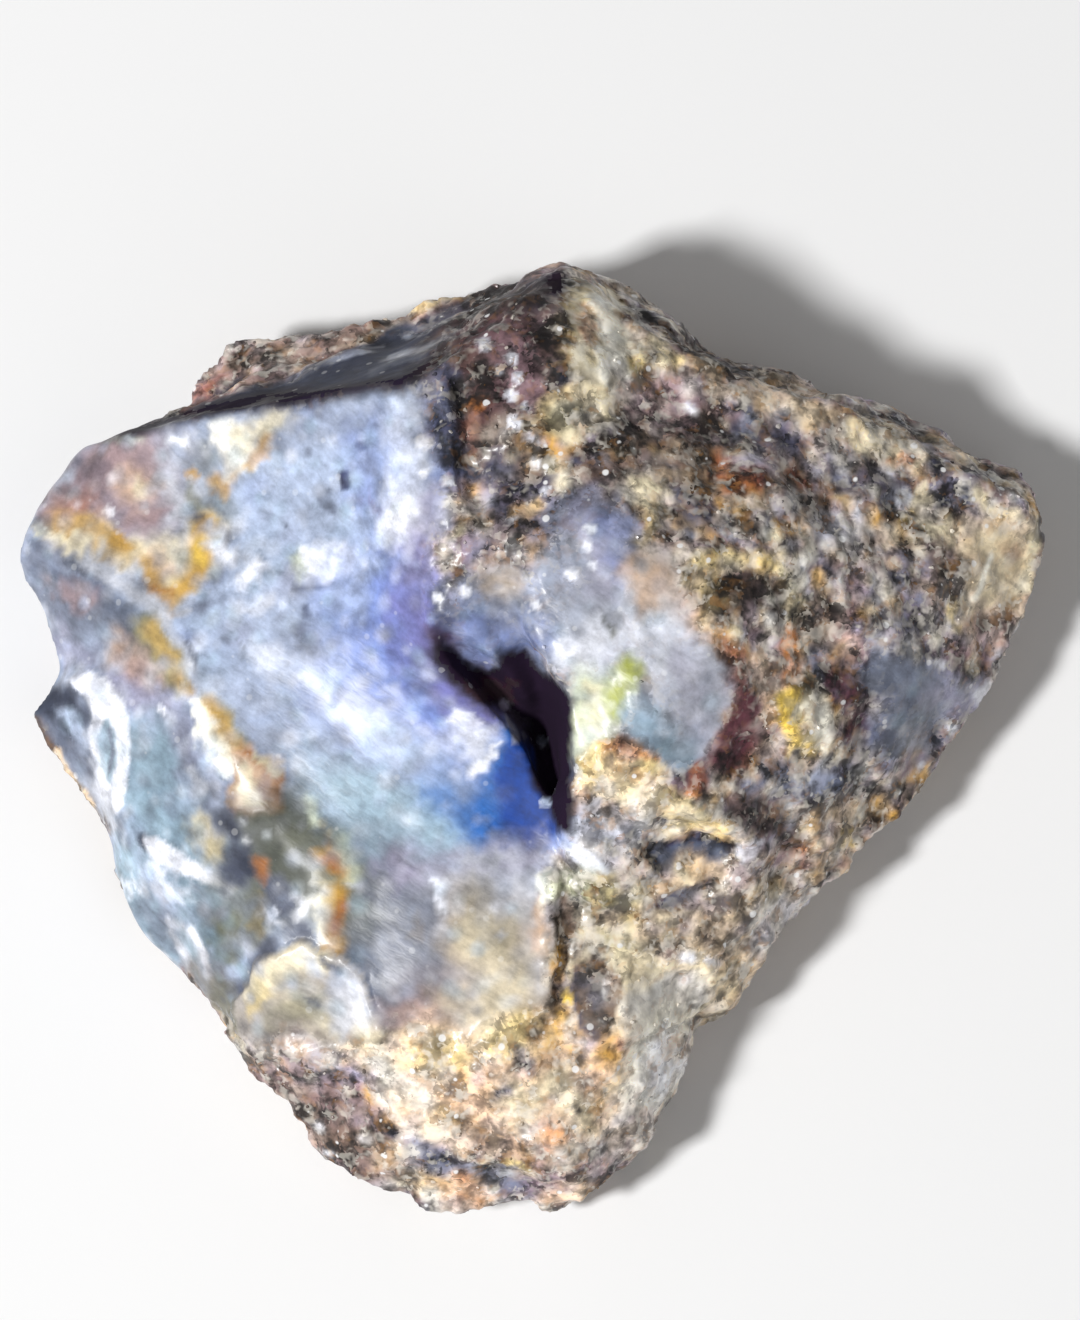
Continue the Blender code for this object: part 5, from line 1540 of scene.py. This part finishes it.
@dataclass
class QuartzSand:
    """The quartz grains that stand out of the rock's broken skin, joined into one piece."""

    shapes: int = 6
    uneven: float = 0.28  # how far a grain's corners stray, for its half width
    depth: float = 0.75  # how deep the first shape is for its width
    deeper: float = 0.06  # and how much deeper each next one is
    height: float = 0.6  # how high they all are for their width
    widths: tuple[float, float] = (0.07 * MM, 0.17 * MM)  # half of a grain's width
    spacing: float = 0.8 * MM  # no two grains lie nearer than this
    density: float = 1.5e6  # grains in a square metre

    def build(self, stone: bpy.types.Object) -> bpy.types.Object:
        """Strews the grains over the rock and makes one mesh of them.

        Args:
            stone: The dressed stone, which carries the share of bare rock.

        Returns:
            The grains.
        """
        box = bpy.data.collections.new("grain shapes")
        for number in range(self.shapes):
            self.add_shape(number, box)
        grains = bpy.data.objects.new("quartz_sand", stone.data.copy())
        bpy.context.scene.collection.objects.link(grains)
        strewn = grains.modifiers.new("strewn", "NODES")
        strewn.node_group = self.scatter(box)
        select_only(grains)
        bpy.ops.object.modifier_apply(modifier=strewn.name)
        for shape in list(box.objects):
            bpy.data.objects.remove(shape)
        bpy.data.collections.remove(box)
        grains.data.materials.clear()
        grains.data.materials.append(WornQuartz().material())
        bpy.ops.object.shade_flat()
        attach(grains, "root")
        return grains

    def add_shape(self, number: int, box: bpy.types.Collection) -> None:
        """Models one rounded, many-sided grain.

        Args:
            number: Which of the shapes it is.
            box: The collection that keeps it.
        """
        bpy.ops.mesh.primitive_ico_sphere_add(subdivisions=1, radius=1)
        bpy.ops.object.mode_set(mode="EDIT")
        bpy.ops.transform.vertex_random(offset=self.uneven, seed=number + 1)
        bpy.ops.transform.resize(value=(1.0, self.depth + self.deeper * number, self.height))
        bpy.ops.object.mode_set(mode="OBJECT")
        shape = bpy.context.object
        box.objects.link(shape)
        bpy.context.scene.collection.objects.unlink(shape)

    def scatter(self, box: bpy.types.Collection) -> bpy.types.NodeTree:
        """Makes the node group that strews the grains and joins them.

        Args:
            box: The collection of grain shapes.

        Returns:
            The node group.
        """
        tree = bpy.data.node_groups.new("strew grains", "GeometryNodeTree")
        for way in ("INPUT", "OUTPUT"):
            tree.interface.new_socket("Geometry", in_out=way, socket_type="NodeSocketGeometry")
        skin = add_node(tree, "NodeGroupInput").outputs[0]
        grit = add_node(
            tree, "GeometryNodeInputNamedAttribute", {"Name": "grit"}, data_type="FLOAT"
        ).outputs[0]
        crowd = {"Distance Min": self.spacing, "Density Max": self.density, "Density Factor": grit}
        spots = add_node(
            tree,
            "GeometryNodeDistributePointsOnFaces",
            {"Mesh": skin, "Seed": 7, **crowd},
            distribute_method="POISSON",
        ).outputs[0]
        shapes = add_node(
            tree,
            "GeometryNodeCollectionInfo",
            {"Collection": box, "Separate Children": True, "Reset Children": True},
        ).outputs[0]
        turn = add_node(
            tree,
            "FunctionNodeRandomValue",
            {0: (-math.pi,) * 3, 1: (math.pi,) * 3, "Seed": 1},
            data_type="FLOAT_VECTOR",
        ).outputs[0]
        narrow, full = self.widths
        width = add_node(
            tree, "FunctionNodeRandomValue", {2: narrow, 3: full, "Seed": 2}, data_type="FLOAT"
        ).outputs[1]
        shade = add_node(
            tree, "FunctionNodeRandomValue", {2: 0.0, 3: 1.0, "Seed": 3}, data_type="FLOAT"
        ).outputs[1]
        put = add_node(
            tree,
            "GeometryNodeInstanceOnPoints",
            {"Points": spots, "Instance": shapes, "Pick Instance": True, "Rotation": turn, "Scale": width},
        ).outputs[0]
        shaded = add_node(
            tree,
            "GeometryNodeStoreNamedAttribute",
            {"Geometry": put, "Name": "shade", "Value": shade},
            data_type="FLOAT",
            domain="INSTANCE",
        ).outputs[0]
        joined = add_node(tree, "GeometryNodeRealizeInstances", {"Geometry": shaded}).outputs[0]
        add_node(tree, "NodeGroupOutput", {0: joined})
        return tree


@dataclass
class Studio:
    """A pale floor in plain soft light, from the left and a little from the front."""

    view: View
    floor_width: float = 3.0
    key_from: tuple[float, float, float] = (-0.42, -0.2, 0.62)
    key_width: float = 0.11
    key_power: float = 6.0
    fill_from: tuple[float, float, float] = (0.5, -0.5, 0.9)
    fill_width: float = 0.9
    fill_power: float = 1.3
    sky: float = 0.2

    def build(self) -> None:
        """Adds the floor, the lights, the sky and the camera."""
        bpy.ops.mesh.primitive_plane_add(size=self.floor_width, location=(0, 0, 0))
        floor = bpy.context.object
        floor.name = "floor"
        floor.data.materials.append(MattPaper().material())
        self.add_light("key", self.key_from, self.key_width, self.key_power)
        self.add_light("fill", self.fill_from, self.fill_width, self.fill_power)
        world = bpy.data.worlds.new("studio")
        bpy.context.scene.world = world
        world.use_nodes = True
        world.node_tree.nodes["Background"].inputs["Color"].default_value = (1, 1, 1, 1)
        world.node_tree.nodes["Background"].inputs["Strength"].default_value = self.sky
        bpy.context.scene.view_settings.view_transform = "Standard"
        self.view.add_camera()

    def add_light(self, name: str, place: Sequence[float], width: float, power: float) -> None:
        """Adds one square soft light that looks at the stone.

        Args:
            name: Its name.
            place: Where it stands.
            width: Its width.
            power: Its power in watts.
        """
        data = bpy.data.lights.new(name, "AREA")
        data.size = width
        data.energy = power
        light = bpy.data.objects.new(name, data)
        bpy.context.scene.collection.objects.link(light)
        light.location = place
        light.rotation_euler = Vector(place).to_track_quat("Z", "Y").to_euler()


def select_only(item: bpy.types.Object) -> None:
    """Deselects everything but one object, and makes that the active one."""
    for other in bpy.context.selected_objects:
        other.select_set(False)
    item.select_set(True)
    bpy.context.view_layer.objects.active = item


def places(item: bpy.types.Object) -> np.ndarray:
    """Reads an object's corners, one row each."""
    out = np.empty(len(item.data.vertices) * 3)
    item.data.vertices.foreach_get("co", out)
    return out.reshape(-1, 3)


def directions(item: bpy.types.Object) -> np.ndarray:
    """Reads the normals at an object's corners, one row each."""
    out = np.empty(len(item.data.vertices) * 3)
    item.data.vertices.foreach_get("normal", out)
    return out.reshape(-1, 3)


def field(points: np.ndarray, size: float, number: int) -> np.ndarray:
    """Reads smooth noise of one size at each point, from about -0.5 to 0.5.

    Args:
        points: The places.
        size: The width of a swell.
        number: Which of the unlike fields to read.
    """
    away = Vector((17.3, 5.1, 9.7)) * number
    return np.array([noise.noise(Vector(point) / size + away) for point in points])


def blend(first: Tint, second: Tint, share: np.ndarray) -> np.ndarray:
    """Mixes two tints point by point."""
    a, b = (np.array(linear(tint.value)) for tint in (first, second))
    return a + (b - a) * np.clip(share, 0, 1)[:, None]


def ramp(values: np.ndarray, start: float, run: float) -> np.ndarray:
    """Rises evenly from 0 where the values reach the start to 1 a whole run further on."""
    return np.clip((values - start) / run, 0, 1)


def distance_to(
    seen: np.ndarray, path: Sequence[Sequence[float]], widths: Sequence[float] = ()
) -> np.ndarray:
    """Measures how far each point lies from the nearest piece of a path.

    Args:
        seen: The points in the frame.
        path: The path's corners in order.
        widths: How wide the path is at each corner, where that differs; distances shrink by it.

    Returns:
        A distance for each point.
    """
    nearest = np.full(len(seen), np.inf)
    corners = [np.asarray(corner, float) for corner in path]
    for number, (start, end) in enumerate(zip(corners, corners[1:] or corners)):
        away, run = seen - start, end - start
        along = np.clip(away @ run / max(float(run @ run), 1e-9), 0, 1)
        far = np.hypot(*(away - along[:, None] * run).T)
        if len(widths) > 1:
            far /= widths[number] + along * (widths[number + 1] - widths[number])
        nearest = np.minimum(nearest, far)
    return nearest


def within(seen: np.ndarray, outline: Sequence[tuple[float, float]]) -> np.ndarray:
    """Says which points lie inside an outline.

    Args:
        seen: The points in the frame.
        outline: The outline's corners in order.

    Returns:
        True or false for each point.
    """
    odd = np.zeros(len(seen), bool)
    for start, end in zip(outline, outline[1:] + outline[:1]):
        if start[1] != end[1]:
            crosses = (start[1] > seen[:, 1]) != (end[1] > seen[:, 1])
            slope = (end[0] - start[0]) / (end[1] - start[1])
            odd ^= crosses & (seen[:, 0] < start[0] + (seen[:, 1] - start[1]) * slope)
    return odd


def add_group(item: bpy.types.Object, name: str, weights: np.ndarray) -> None:
    """Adds a vertex group with a weight for each corner that has one."""
    group = item.vertex_groups.new(name=name)
    for index in np.flatnonzero(weights > 0):
        group.add([int(index)], float(weights[index]), "REPLACE")


def add_attribute(item: bpy.types.Object, name: str, kind: str, key: str, values: np.ndarray) -> None:
    """Adds a named attribute with a value at each corner."""
    attribute = item.data.attributes.new(name, kind, "POINT")
    attribute.data.foreach_set(key, values.ravel())


def main() -> None:
    """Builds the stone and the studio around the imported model."""
    logging.basicConfig(level=logging.INFO, format="%(message)s")
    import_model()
    view = View()
    stone = Stone(view).build()
    log.info("%s: %d faces", stone.name, len(stone.data.polygons))
    sand = QuartzSand().build(stone)
    log.info("%s: %d faces", sand.name, len(sand.data.polygons))
    Studio(view).build()
    log.info("studio")


if __name__ == "__main__":
    main()
